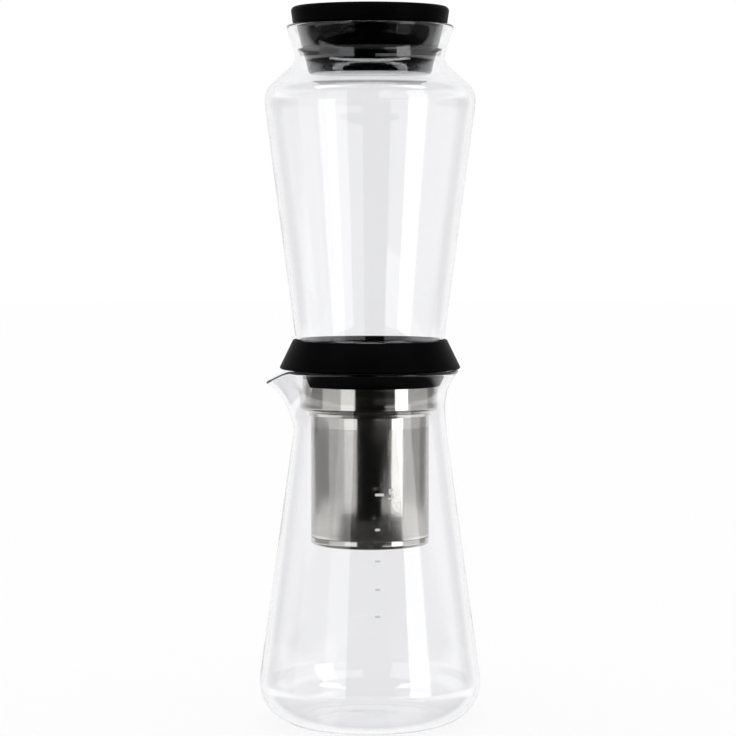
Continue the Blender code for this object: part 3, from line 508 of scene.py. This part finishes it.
shell_low, shell_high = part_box("collar_shell")
SHELL_TOP_RADIUS = 0.0417
SHELL_WALL = 0.0011
SHELL_FLANGE = 0.0019
SHELL_BORE = 0.0426
TIP_RISE = 0.0008
SEAL_GROOVE = (0.0455, 0.0481, 0.0010)  # inner radius, outer radius, depth
flange_reach = 0.0470
z = shell_low.z
collar_black = polypropylene("black_polypropylene", ("#030304", "#060607"), (0.36, 0.46), 0.012, 0.35)
shell = turned("collar_shell_moulded", [
    (SHELL_BORE, z), (SEAL_GROOVE[0], z), (SEAL_GROOVE[0], z + SEAL_GROOVE[2]),
    (SEAL_GROOVE[1], z + SEAL_GROOVE[2]), (SEAL_GROOVE[1], z), (shell_high.x - TIP_RISE / 2, z),
    (shell_high.x, z + TIP_RISE), (SHELL_TOP_RADIUS, shell_high.z),
    (SHELL_TOP_RADIUS - SHELL_WALL, shell_high.z), (flange_reach, z + SHELL_FLANGE),
    (SHELL_BORE, z + SHELL_FLANGE), (SHELL_BORE, z),
])
shaded(shell, collar_black, "collar", "collar_shell")


# Collar plug ring: a cone of the same black plastic that hangs in the shell and grips the steel
# band, with a sleeve above for the seat. It is cut away on the spout's side, so coffee pours past.
ring_low, ring_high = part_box("collar_plug_ring")
RING_BORE = 0.0370
RING_BOTTOM = 0.0380
RING_CONE_TOP = 0.0410
RING_NECK = 0.0423
RING_SLEEVE = (0.0387, 0.0406)  # inner and outer radius
RING_LEDGE = (0.0349, 0.0012)  # inner radius and thickness
RING_FLANGE = 0.0014
CONE_END_DROP = 0.0019  # heights over and under the collar's underside
NECK_DROP = 0.0009
LEDGE_DROP = 0.0016
FLANGE_RISE = 0.0022
VENT_HALF_ANGLE = math.radians(34)
VENT_DROP = 0.00175  # how far under the collar the vent's top is
VENT_STEPS = 24
CUT_MARGIN = 0.0010
collar_z = shell_low.z
ledge_top = collar_z - LEDGE_DROP
flange_z = collar_z + FLANGE_RISE
ring = turned("collar_plug_ring_moulded", [
    (RING_BORE, ring_low.z), (RING_BOTTOM, ring_low.z), (RING_CONE_TOP, collar_z - CONE_END_DROP),
    (RING_NECK, collar_z - NECK_DROP), (RING_NECK, flange_z), (ring_high.x, flange_z),
    (ring_high.x, flange_z + RING_FLANGE), (RING_SLEEVE[1], flange_z + RING_FLANGE),
    (RING_SLEEVE[1], ring_high.z), (RING_SLEEVE[0], ring_high.z), (RING_SLEEVE[0], ledge_top),
    (RING_LEDGE[0], ledge_top), (RING_LEDGE[0], ledge_top - RING_LEDGE[1]),
    (RING_BORE, ledge_top - RING_LEDGE[1]), (RING_BORE, ring_low.z),
])
bpy.ops.mesh.primitive_plane_add(size=1, location=(0, 0, 0))
cutter = bpy.context.object
bpy.ops.object.mode_set(mode="EDIT")
bpy.ops.transform.rotate(value=math.pi / 2, orient_axis="X", center_override=(0, 0, 0))
window_low = (RING_BORE - CUT_MARGIN / 2, ring_low.z - CUT_MARGIN)
window_high = (RING_NECK + CUT_MARGIN, collar_z - VENT_DROP)
bpy.ops.transform.resize(value=(window_high[0] - window_low[0], 1, window_high[1] - window_low[1]),
                         center_override=(0, 0, 0))
bpy.ops.transform.translate(value=((window_low[0] + window_high[0]) / 2, 0,
                                   (window_low[1] + window_high[1]) / 2))
bpy.ops.mesh.spin(steps=VENT_STEPS, angle=2 * VENT_HALF_ANGLE, center=(0, 0, 0), axis=(0, 0, 1))
bpy.ops.mesh.select_all(action="SELECT")
bpy.ops.mesh.normals_make_consistent(inside=False)
bpy.ops.object.mode_set(mode="OBJECT")
middle = sum((v.co for v in cutter.data.vertices), Vector()) / len(cutter.data.vertices)
cutter.rotation_euler.z = math.pi - math.atan2(middle.y, middle.x)
bpy.context.view_layer.update()
finished(ring, "BOOLEAN", operation="DIFFERENCE", object=cutter)
bpy.data.objects.remove(cutter)
shaded(ring, collar_black, "collar", "collar_plug_ring")


# Collar seat: the dish that the bowl's round heel settles into, with a groove for its gasket and a
# drip opening in the middle. It drops into the ring's sleeve and rests there on its own skirt.
seat_low, seat_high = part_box("collar_seat")
bowl_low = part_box("upper_bowl")[0]
BOWL_FOOT = 0.0340
BOWL_HEEL = 0.0060
DISH_MARGIN = 0.0005
DISH_STEPS = 8
SEAT_FLOOR_DROP = 0.0011
SEAT_FLOOR = 0.0028
SEAT_SKIRT = (0.0363, 0.0384)  # inner and outer radius
DRIP_OPENING = 0.0096
GASKET_GROOVE = (0.0287, 0.0337, 0.0021)  # inner radius, outer radius, depth under the bowl
seat_top = bowl_low.z - SEAT_FLOOR_DROP
seat_bottom = seat_top - SEAT_FLOOR
dish_radius = BOWL_HEEL + DISH_MARGIN
dish_edge = seat_high.x
dish_end = math.acos((dish_edge - BOWL_FOOT) / dish_radius)
dish_turns = [-math.pi / 2 + i / DISH_STEPS * (math.pi / 2 - dish_end) for i in range(DISH_STEPS + 1)]
dish = [(BOWL_FOOT + dish_radius * math.cos(turn), bowl_low.z + BOWL_HEEL + dish_radius * math.sin(turn))
        for turn in dish_turns]
seat = turned("collar_seat_moulded", [
    (dish_edge, seat_bottom), (SEAT_SKIRT[1], seat_bottom), (SEAT_SKIRT[1], seat_low.z),
    (SEAT_SKIRT[0], seat_low.z), (SEAT_SKIRT[0], seat_bottom), (DRIP_OPENING, seat_bottom),
    (DRIP_OPENING, seat_top), (GASKET_GROOVE[0], seat_top),
    (GASKET_GROOVE[0], bowl_low.z - GASKET_GROOVE[2]), (GASKET_GROOVE[1], bowl_low.z - GASKET_GROOVE[2]),
    (GASKET_GROOVE[1], bowl_low.z - DISH_MARGIN), *dish, (dish_edge, seat_bottom),
], edge=0.0002)
shaded(seat, collar_black, "collar", "collar_seat")


# Seals: three moulded silicone rings. The milky ones keep the hard collar off the server's lip and
# the band's edge; the black one carries the bowl. Silicone is dull and slightly dusty.
def silicone(name, colour, roughness):
    """Matt moulded rubber with a fine, dusty unevenness."""
    made, tree, output = new_material(name)
    place = add_node(tree, "TexCoord").outputs["Object"]
    dust = add_node(tree, "TexNoise", {"Vector": place, "Scale": 900, "Detail": 3})
    shades = add_node(tree, "Mix", {"Factor": dust.outputs["Fac"], 6: linear(colour[0]),
                                    7: linear(colour[1])}, data_type="RGBA")
    rough = add_node(tree, "MapRange", {"Value": dust.outputs["Fac"], "To Min": roughness[0],
                                        "To Max": roughness[1]})
    bump = add_node(tree, "Bump", {"Height": dust.outputs["Fac"], "Strength": 0.3,
                                   "Distance": 0.00003})
    shader = add_node(tree, "BsdfPrincipled", {
        "Base Color": shades.outputs[2], "Roughness": rough.outputs["Result"], "IOR": 1.41,
        "Normal": bump.outputs["Normal"]})
    tree.links.new(shader.outputs[0], output.inputs["Surface"])
    return made


black_silicone = silicone("black_silicone", ("#050506", "#0B0B0C"), (0.50, 0.70))
milky_silicone = silicone("milky_silicone", ("#DADCDC", "#ECEDED"), (0.40, 0.55))
SEALS = (
    ("lip_seal", 0.0020, milky_silicone, "clear_silicone"),
    ("strainer_seal", 0.0013, milky_silicone, "clear_silicone"),
    ("bowl_gasket", 0.0044, black_silicone, "black_silicone"),
)
for name, width, finish, slot in SEALS:
    low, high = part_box(name)
    outer, inner = high.x, high.x - width
    seal = turned(name + "_moulded", [(inner, low.z), (outer, low.z), (outer, high.z),
                                      (inner, high.z), (inner, low.z)], edge=0.00025)
    shaded(seal, finish, "collar", name)


# Strainer band: deep-drawn stainless steel, polished bright, with a round step at its foot and a
# short neck below that takes the mesh wall. Drawing leaves very faint rings round it.
def stainless(name, colour, roughness, ring_strength):
    """Polished stainless steel with faint turning rings and a slightly uneven mirror."""
    made, tree, output = new_material(name)
    place = add_node(tree, "TexCoord").outputs["Object"]
    along = add_node(tree, "Mapping", {"Vector": place, "Scale": (40, 40, 2600)})
    rings = add_node(tree, "TexNoise", {"Vector": along.outputs[0], "Scale": 1, "Detail": 3})
    stains = add_node(tree, "TexNoise", {"Vector": place, "Scale": 60, "Detail": 2})
    shades = add_node(tree, "Mix", {"Factor": stains.outputs["Fac"], 6: linear(colour[0]),
                                    7: linear(colour[1])}, data_type="RGBA")
    rough = add_node(tree, "MapRange", {"Value": rings.outputs["Fac"], "From Min": 0.3,
                                        "From Max": 0.7, "To Min": roughness[0],
                                        "To Max": roughness[1]})
    bump = add_node(tree, "Bump", {"Height": rings.outputs["Fac"], "Strength": ring_strength,
                                   "Distance": 0.00002})
    shader = add_node(tree, "BsdfPrincipled", {
        "Base Color": shades.outputs[2], "Metallic": 1.0, "Roughness": rough.outputs["Result"],
        "Normal": bump.outputs["Normal"]})
    tree.links.new(shader.outputs[0], output.inputs["Surface"])
    return made


steel = stainless("polished_stainless_steel", ("#C4C2BC", "#D0CEC9"), (0.05, 0.12), 0.15)
band_low, band_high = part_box("strainer_band")
BAND_SHEET = 0.0006
BAND_CORNER = 0.0026
BAND_NECK = 0.0330
BAND_NECK_TOP = 0.0189  # how far down from the band's top edge its neck begins
BAND_STEP_LIFT = 0.0004
corner = (band_high.x - BAND_CORNER, band_high.z - BAND_NECK_TOP + BAND_STEP_LIFT + BAND_CORNER)


def rounded_corner(centre, radius, start, end, steps):
    """Points round a corner, with its two ends. Angles are in degrees and rise from outwards to up."""
    turns = [math.radians(start + (end - start) * i / steps) for i in range(steps + 1)]
    return [(centre[0] + radius * math.cos(a), centre[1] + radius * math.sin(a)) for a in turns]


inner_neck = BAND_NECK - BAND_SHEET
step_z = band_high.z - BAND_NECK_TOP
band = turned("strainer_band_drawn", [
    (band_high.x, band_high.z), *rounded_corner(corner, BAND_CORNER, 0, -90, 10),
    (BAND_NECK, step_z), (BAND_NECK, band_low.z), (inner_neck, band_low.z),
    (inner_neck, step_z + BAND_SHEET),
    *rounded_corner(corner, BAND_CORNER - BAND_SHEET, -90, 0, 10),
    (band_high.x - BAND_SHEET, band_high.z), (band_high.x, band_high.z),
], edge=0.00015)
shaded(band, steel, "strainer", "strainer_band")


# Strainer wall: thin stainless sheet, etched through with thousands of fine holes between two plain
# edges, then rolled and welded. The holes are too fine to tell apart from a step away, so they are
# drawn at twice their real spacing. They are drawn as dark spots of painted shade, standing in for
# the dim inside of the strainer that would show through them.
HOLE_COLUMNS = 420
HOLE_PITCH = 0.00048
HOLE_SHARE = 0.30  # a hole's radius as a share of its pitch
HOLE_BLUR = 0.06
PLAIN_TOP = 0.0071
PLAIN_BOTTOM = 0.0014


def etched_mesh(name, mesh_low, mesh_high):
    """Stainless sheet with round etched holes between two heights, in straight rows."""
    made, tree, output = new_material(name)
    place = add_node(tree, "SeparateXYZ", {0: add_node(tree, "TexCoord").outputs["Object"]})
    turn = add_node(tree, "Math", {0: place.outputs["Y"], 1: place.outputs["X"]}, operation="ARCTAN2")
    column = add_node(tree, "Math", {0: turn.outputs[0], 1: HOLE_COLUMNS / math.tau},
                      operation="MULTIPLY")
    row = add_node(tree, "Math", {0: place.outputs["Z"], 1: 1 / HOLE_PITCH}, operation="MULTIPLY")
    cell = add_node(tree, "CombineXYZ", {0: column.outputs[0], 1: row.outputs[0]})
    holes = add_node(tree, "TexVoronoi", {"Vector": cell.outputs[0], "Scale": 1.0, "Randomness": 0.0},
                     voronoi_dimensions="2D")
    hole = add_node(tree, "MapRange", {
        "Value": holes.outputs["Distance"], "From Min": HOLE_SHARE - HOLE_BLUR,
        "From Max": HOLE_SHARE + HOLE_BLUR, "To Min": 1.0, "To Max": 0.0})
    over = add_node(tree, "Math", {0: place.outputs["Z"], 1: mesh_low}, operation="GREATER_THAN")
    under = add_node(tree, "Math", {0: place.outputs["Z"], 1: mesh_high}, operation="LESS_THAN")
    zone = add_node(tree, "Math", {0: over.outputs[0], 1: under.outputs[0]}, operation="MULTIPLY")
    holes_with_painted_shade = add_node(tree, "Math", {0: zone.outputs[0], 1: hole.outputs[0]}, operation="MULTIPLY")
    # The holes' dark grey is painted shade for the dim inside seen through them; the lighter grey is the
    # sheet's own steel.
    shades = add_node(tree, "Mix", {"Factor": holes_with_painted_shade.outputs[0], 6: linear("#CBC9C4"),
                                    7: linear("#2A2A29")}, data_type="RGBA")
    stains = add_node(tree, "TexNoise", {"Vector": add_node(tree, "TexCoord").outputs["Object"],
                                         "Scale": 70, "Detail": 2})
    plain = add_node(tree, "MapRange", {"Value": stains.outputs["Fac"], "To Min": 0.05, "To Max": 0.14})
    rough = add_node(tree, "Mix", {"Factor": zone.outputs[0], 2: plain.outputs["Result"], 3: 0.10})
    along = add_node(tree, "Mapping", {"Vector": add_node(tree, "TexCoord").outputs["Object"],
                                       "Scale": (90, 90, 22)})
    waves = add_node(tree, "TexNoise", {"Vector": along.outputs[0], "Scale": 1, "Detail": 1})
    rolled = add_node(tree, "Bump", {"Height": waves.outputs["Fac"], "Strength": 1.0,
                                     "Distance": 0.00018})
    bump = add_node(tree, "Bump", {"Height": holes_with_painted_shade.outputs[0], "Strength": 0.2,
                                   "Distance": 0.00003, "Normal": rolled.outputs["Normal"]},
                    invert=True)
    shader = add_node(tree, "BsdfPrincipled", {
        "Base Color": shades.outputs[2], "Metallic": 1.0, "Roughness": rough.outputs[0],
        "Normal": bump.outputs["Normal"]})
    tree.links.new(shader.outputs[0], output.inputs["Surface"])
    return made


wall_low, wall_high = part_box("strainer_wall")
WALL_SHEET = 0.0004
wall_finish = etched_mesh("etched_stainless_mesh", wall_low.z + PLAIN_BOTTOM, wall_high.z - PLAIN_TOP)
wall = turned("strainer_wall_rolled", [
    (wall_high.x, wall_low.z), (wall_high.x, wall_high.z), (wall_high.x - WALL_SHEET, wall_high.z),
    (wall_high.x - WALL_SHEET, wall_low.z), (wall_high.x, wall_low.z),
], edge=0.00008)
shaded(wall, wall_finish, "strainer", "strainer_wall")


# Strainer foot and floor: a pressed steel ring with a soft lower edge, flush with the wall, whose
# flange carries a disc of the same etched mesh. The ring is welded on from inside.
foot_low, foot_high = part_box("strainer_foot")
FOOT_CORNER = 0.0020
FOOT_SHEET = 0.0006
FOOT_SHOULDER = foot_low.z + 0.0043
FOOT_SLEEVE = 0.0314
FOOT_FLANGE = 0.0259
foot_corner = (foot_high.x - FOOT_CORNER, foot_low.z + FOOT_CORNER)
foot = turned("strainer_foot_pressed", [
    (FOOT_FLANGE, foot_low.z), *rounded_corner(foot_corner, FOOT_CORNER, -90, 0, 8),
    (foot_high.x, FOOT_SHOULDER), (FOOT_SLEEVE, FOOT_SHOULDER), (FOOT_SLEEVE, foot_high.z),
    (FOOT_SLEEVE - FOOT_SHEET, foot_high.z), (FOOT_SLEEVE - FOOT_SHEET, foot_low.z + FOOT_SHEET),
    (FOOT_FLANGE, foot_low.z + FOOT_SHEET), (FOOT_FLANGE, foot_low.z),
], edge=0.00012)
shaded(foot, steel, "strainer", "strainer_foot")

floor_low, floor_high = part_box("strainer_floor")
floor_finish = etched_mesh("etched_stainless_floor", floor_low.z - 1, floor_high.z + 1)
floor_disc = turned("strainer_floor_disc", [
    (0, floor_low.z), (floor_high.x, floor_low.z), (floor_high.x, floor_high.z), (0, floor_high.z),
], edge=0.00008)
shaded(floor_disc, floor_finish, "strainer", "strainer_floor")


# Drip spreader: a loose tray of the same steel, pressed with a low rim and punched with rings of
# holes, that lies on the band's step over the ground coffee.
tray_low, tray_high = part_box("drip_spreader")
TRAY_SHEET = 0.0006
TRAY_HOLE = 0.0014
HOLE_SIDES = 20
TRAY_RING_PITCH = 0.0100
TRAY_RINGS = 3
tray = turned("drip_spreader_pressed", [
    (0, tray_low.z), (tray_high.x, tray_low.z), (tray_high.x, tray_high.z),
    (tray_high.x - TRAY_SHEET, tray_high.z), (tray_high.x - TRAY_SHEET, tray_low.z + TRAY_SHEET),
    (0, tray_low.z + TRAY_SHEET),
], edge=0.0002)
for ring_number in range(TRAY_RINGS):
    for i in range(max(1, 6 * ring_number)):
        turn = math.tau * i / max(1, 6 * ring_number)
        reach = ring_number * TRAY_RING_PITCH
        bpy.ops.mesh.primitive_cylinder_add(
            vertices=HOLE_SIDES, radius=TRAY_HOLE, depth=6 * TRAY_SHEET,
            location=(reach * math.cos(turn), reach * math.sin(turn), tray_low.z + TRAY_SHEET / 2))
        punch = bpy.context.object
        finished(tray, "BOOLEAN", operation="DIFFERENCE", object=punch)
        bpy.data.objects.remove(punch)
shaded(tray, steel, "spreader", "drip_spreader")


# Bowl: the water bowl, blown from the same glass as the server, with a flat floor that has a hole
# for the drip valve, a long taper, a round shoulder, a narrow throat and a flared neck.
BOWL_WALL = 0.0020
BOWL_HOLE = 0.0072
BOWL_SIDE_TOP = (0.05574, 0.1251)  # heights here are over the bowl's underside
BOWL_SLOPE = (0.05304, 0.1444)
BOWL_SLOPE_END = (0.0477, 0.1493)
BOWL_THROAT = (0.0404, 0.1587)
BOWL_RIM = (0.0452, 0.1755)
bowl_lean = 7.53
bowl_heel_end = (0.0400, 0.0052)
z = bowl_low.z
bowl = spun(drawn("upper_bowl_blown", (
    (BOWL_HOLE, z, 0, 0, 0.33),
    (BOWL_FOOT, z, 0, 0.33, 0.38),
    (bowl_heel_end[0], z + bowl_heel_end[1], 90 - bowl_lean, 0.38, 0.33),
    (BOWL_SIDE_TOP[0], z + BOWL_SIDE_TOP[1], 90 - bowl_lean, 0.33, 0.46),
    (BOWL_SLOPE[0], z + BOWL_SLOPE[1], 138, 0.33, 0.33),
    (BOWL_SLOPE_END[0], z + BOWL_SLOPE_END[1], 138, 0.33, 0.50),
    (BOWL_THROAT[0], z + BOWL_THROAT[1], 90, 0.25, 0.18),
    (BOWL_RIM[0], z + BOWL_RIM[1], 73, 0.40, 0),
), 10), SERVER_SEGMENTS)
finished(bowl, "SOLIDIFY", thickness=BOWL_WALL, offset=-1, use_even_offset=True)
finished(bowl, "BEVEL", width=BOWL_WALL * RIM_ROUND_SHARE, segments=RIM_SEGMENTS,
         limit_method="ANGLE", angle_limit=math.radians(55))
bowl_finish = borosilicate("borosilicate_bowl", "#F9F9FA")
shaded(bowl, bowl_finish, "bowl", "upper_bowl")


# Drip valve: a soft black stopper in the bowl's hole, a turned steel nozzle through it whose
# pinhole meters the drops, and a low cap of fine mesh over the nozzle's head.
grommet_low, grommet_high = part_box("drip_grommet")
nozzle_low, nozzle_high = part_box("drip_nozzle")
screen_low, screen_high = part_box("nozzle_screen")
VALVE_SEGMENTS = 64
STEM = 0.0069
STEM_TIP = 0.0042
STEM_STRAIGHT = 0.0025  # how far the stem runs straight below the bowl
GROMMET_BORE = 0.0025
GROMMET_GAP = 0.0003
NOZZLE = (0.0006, 0.0022, 0.0005)  # bore, radius and head thickness
SCREEN_SHEET = 0.0003
floor_top = bowl_low.z + BOWL_WALL
grommet = turned("drip_grommet_moulded", [
    (GROMMET_BORE, grommet_low.z), (STEM_TIP, grommet_low.z), (STEM, bowl_low.z - STEM_STRAIGHT),
    (STEM, floor_top + GROMMET_GAP), (grommet_high.x, floor_top + GROMMET_GAP),
    (grommet_high.x, grommet_high.z), (GROMMET_BORE, grommet_high.z), (GROMMET_BORE, grommet_low.z),
], edge=0.0003, segments=VALVE_SEGMENTS)
shaded(grommet, black_silicone, "drip_valve", "drip_grommet")

nozzle = turned("drip_nozzle_turned", [
    (NOZZLE[0], nozzle_low.z), (NOZZLE[1], nozzle_low.z), (NOZZLE[1], nozzle_high.z - NOZZLE[2]),
    (nozzle_high.x, nozzle_high.z - NOZZLE[2]), (nozzle_high.x, nozzle_high.z),
    (NOZZLE[0], nozzle_high.z), (NOZZLE[0], nozzle_low.z),
], edge=0.0001, segments=VALVE_SEGMENTS)
shaded(nozzle, steel, "drip_valve", "drip_nozzle")

SCREEN_CORNER = 0.0007
screen_corner = (screen_high.x - SCREEN_CORNER, screen_high.z - SCREEN_CORNER)
screen = turned("nozzle_screen_pressed", [
    (0, screen_high.z), *rounded_corner(screen_corner, SCREEN_CORNER, 90, 0, 6),
    (screen_high.x, screen_low.z), (screen_high.x - SCREEN_SHEET, screen_low.z),
    *rounded_corner(screen_corner, SCREEN_CORNER - SCREEN_SHEET, 0, 90, 6),
    (0, screen_high.z - SCREEN_SHEET),
], edge=0, segments=VALVE_SEGMENTS)
shaded(screen, floor_finish, "drip_valve", "nozzle_screen")


# Lid cap: a shallow cap moulded in the collar's black plastic, with a soft upper edge and sides
# that widen slightly upwards so that fingers can lift it.
cap_low, cap_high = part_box("lid_cap")
CAP_BOTTOM = 0.0415
CAP_CORNER = 0.0024
CAP_WALL = 0.0020
CAP_ROOF = 0.0022
cap_corner = (cap_high.x - CAP_CORNER, cap_high.z - CAP_CORNER)
cap = turned("lid_cap_moulded", [
    (0, cap_high.z - CAP_ROOF), (CAP_BOTTOM - CAP_WALL, cap_high.z - CAP_ROOF),
    (CAP_BOTTOM - CAP_WALL, cap_low.z), (CAP_BOTTOM, cap_low.z),
    *rounded_corner(cap_corner, CAP_CORNER, 0, 90, 10), (0, cap_high.z),
], edge=0.0003)
shaded(cap, collar_black, "lid", "lid_cap")


# Lid plug: a hollow tapered stopper, moulded in gloss black and snapped into the cap, with a
# groove near its foot for the gasket.
plug_low, plug_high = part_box("lid_plug")
gasket_low, gasket_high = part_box("lid_gasket")
PLUG_DEPTH = 0.0271
PLUG_TAPER = 0.0068
PLUG_WALL = 0.0018
PLUG_INSET = 0.0034
PLUG_FOOT_CORNER = 0.0012
GROOVE_DEPTH = 0.0012
SNUG = 0.0003


def plug_radius(height):
    """The plug's outer radius at a height of the whole object."""
    return plug_high.x - PLUG_TAPER * (cap_low.z - height) / PLUG_DEPTH


plug_finish = polypropylene("gloss_black_abs", ("#020203", "#040405"), (0.04, 0.08), 0.12, 0.04)
groove = (gasket_low.z - SNUG, gasket_high.z + SNUG, plug_radius(gasket_low.z) - GROOVE_DEPTH)
neck = CAP_BOTTOM - CAP_WALL - SNUG
foot_z = plug_low.z + PLUG_FOOT_CORNER
plug = turned("lid_plug_moulded", [
    (0, plug_low.z), (plug_radius(foot_z) - PLUG_FOOT_CORNER, plug_low.z), (plug_radius(foot_z), foot_z),
    (plug_radius(groove[0]), groove[0]), (groove[2], groove[0]), (groove[2], groove[1]),
    (plug_radius(groove[1]), groove[1]), (plug_radius(cap_low.z - SNUG), cap_low.z - SNUG),
    (neck, cap_low.z - SNUG), (neck, plug_high.z), (neck - PLUG_WALL, plug_high.z),
    (neck - PLUG_WALL, cap_low.z - SNUG),
    (plug_radius(cap_low.z - PLUG_WALL) - PLUG_INSET, cap_low.z - PLUG_WALL),
    (plug_radius(plug_low.z + PLUG_WALL) - PLUG_INSET, plug_low.z + PLUG_WALL),
    (0, plug_low.z + PLUG_WALL),
], edge=0.0003)
shaded(plug, plug_finish, "lid", "lid_plug")


# Lid gasket: a black silicone ring in the plug's groove, with a thin fin that brushes the glass
# neck. A notch in the fin lets air in as the water drips away.
FIN = 0.0009
GASKET_WIDTH = 0.0009
NOTCH_HALF_ANGLE = math.radians(3.5)
gasket_inner = plug_radius((gasket_low.z + gasket_high.z) / 2) - GASKET_WIDTH
gasket_outer = gasket_inner + GASKET_WIDTH
fin_z = (gasket_low.z + gasket_high.z - FIN) / 2
gasket = turned("lid_gasket_moulded", [
    (gasket_inner, gasket_low.z), (gasket_outer, gasket_low.z), (gasket_outer, fin_z),
    (gasket_high.y, fin_z), (gasket_high.y, fin_z + FIN), (gasket_outer, fin_z + FIN),
    (gasket_outer, gasket_high.z), (gasket_inner, gasket_high.z), (gasket_inner, gasket_low.z),
], edge=0.0002)
bpy.ops.mesh.primitive_cube_add(size=1, location=(gasket_high.y, 0, fin_z + FIN / 2))
notch = bpy.context.object
bpy.ops.transform.resize(value=(gasket_high.y - gasket_outer, 2 * gasket_high.y * NOTCH_HALF_ANGLE,
                                4 * FIN))
finished(gasket, "BOOLEAN", operation="DIFFERENCE", object=notch)
bpy.data.objects.remove(notch)
shaded(gasket, black_silicone, "lid", "lid_gasket")
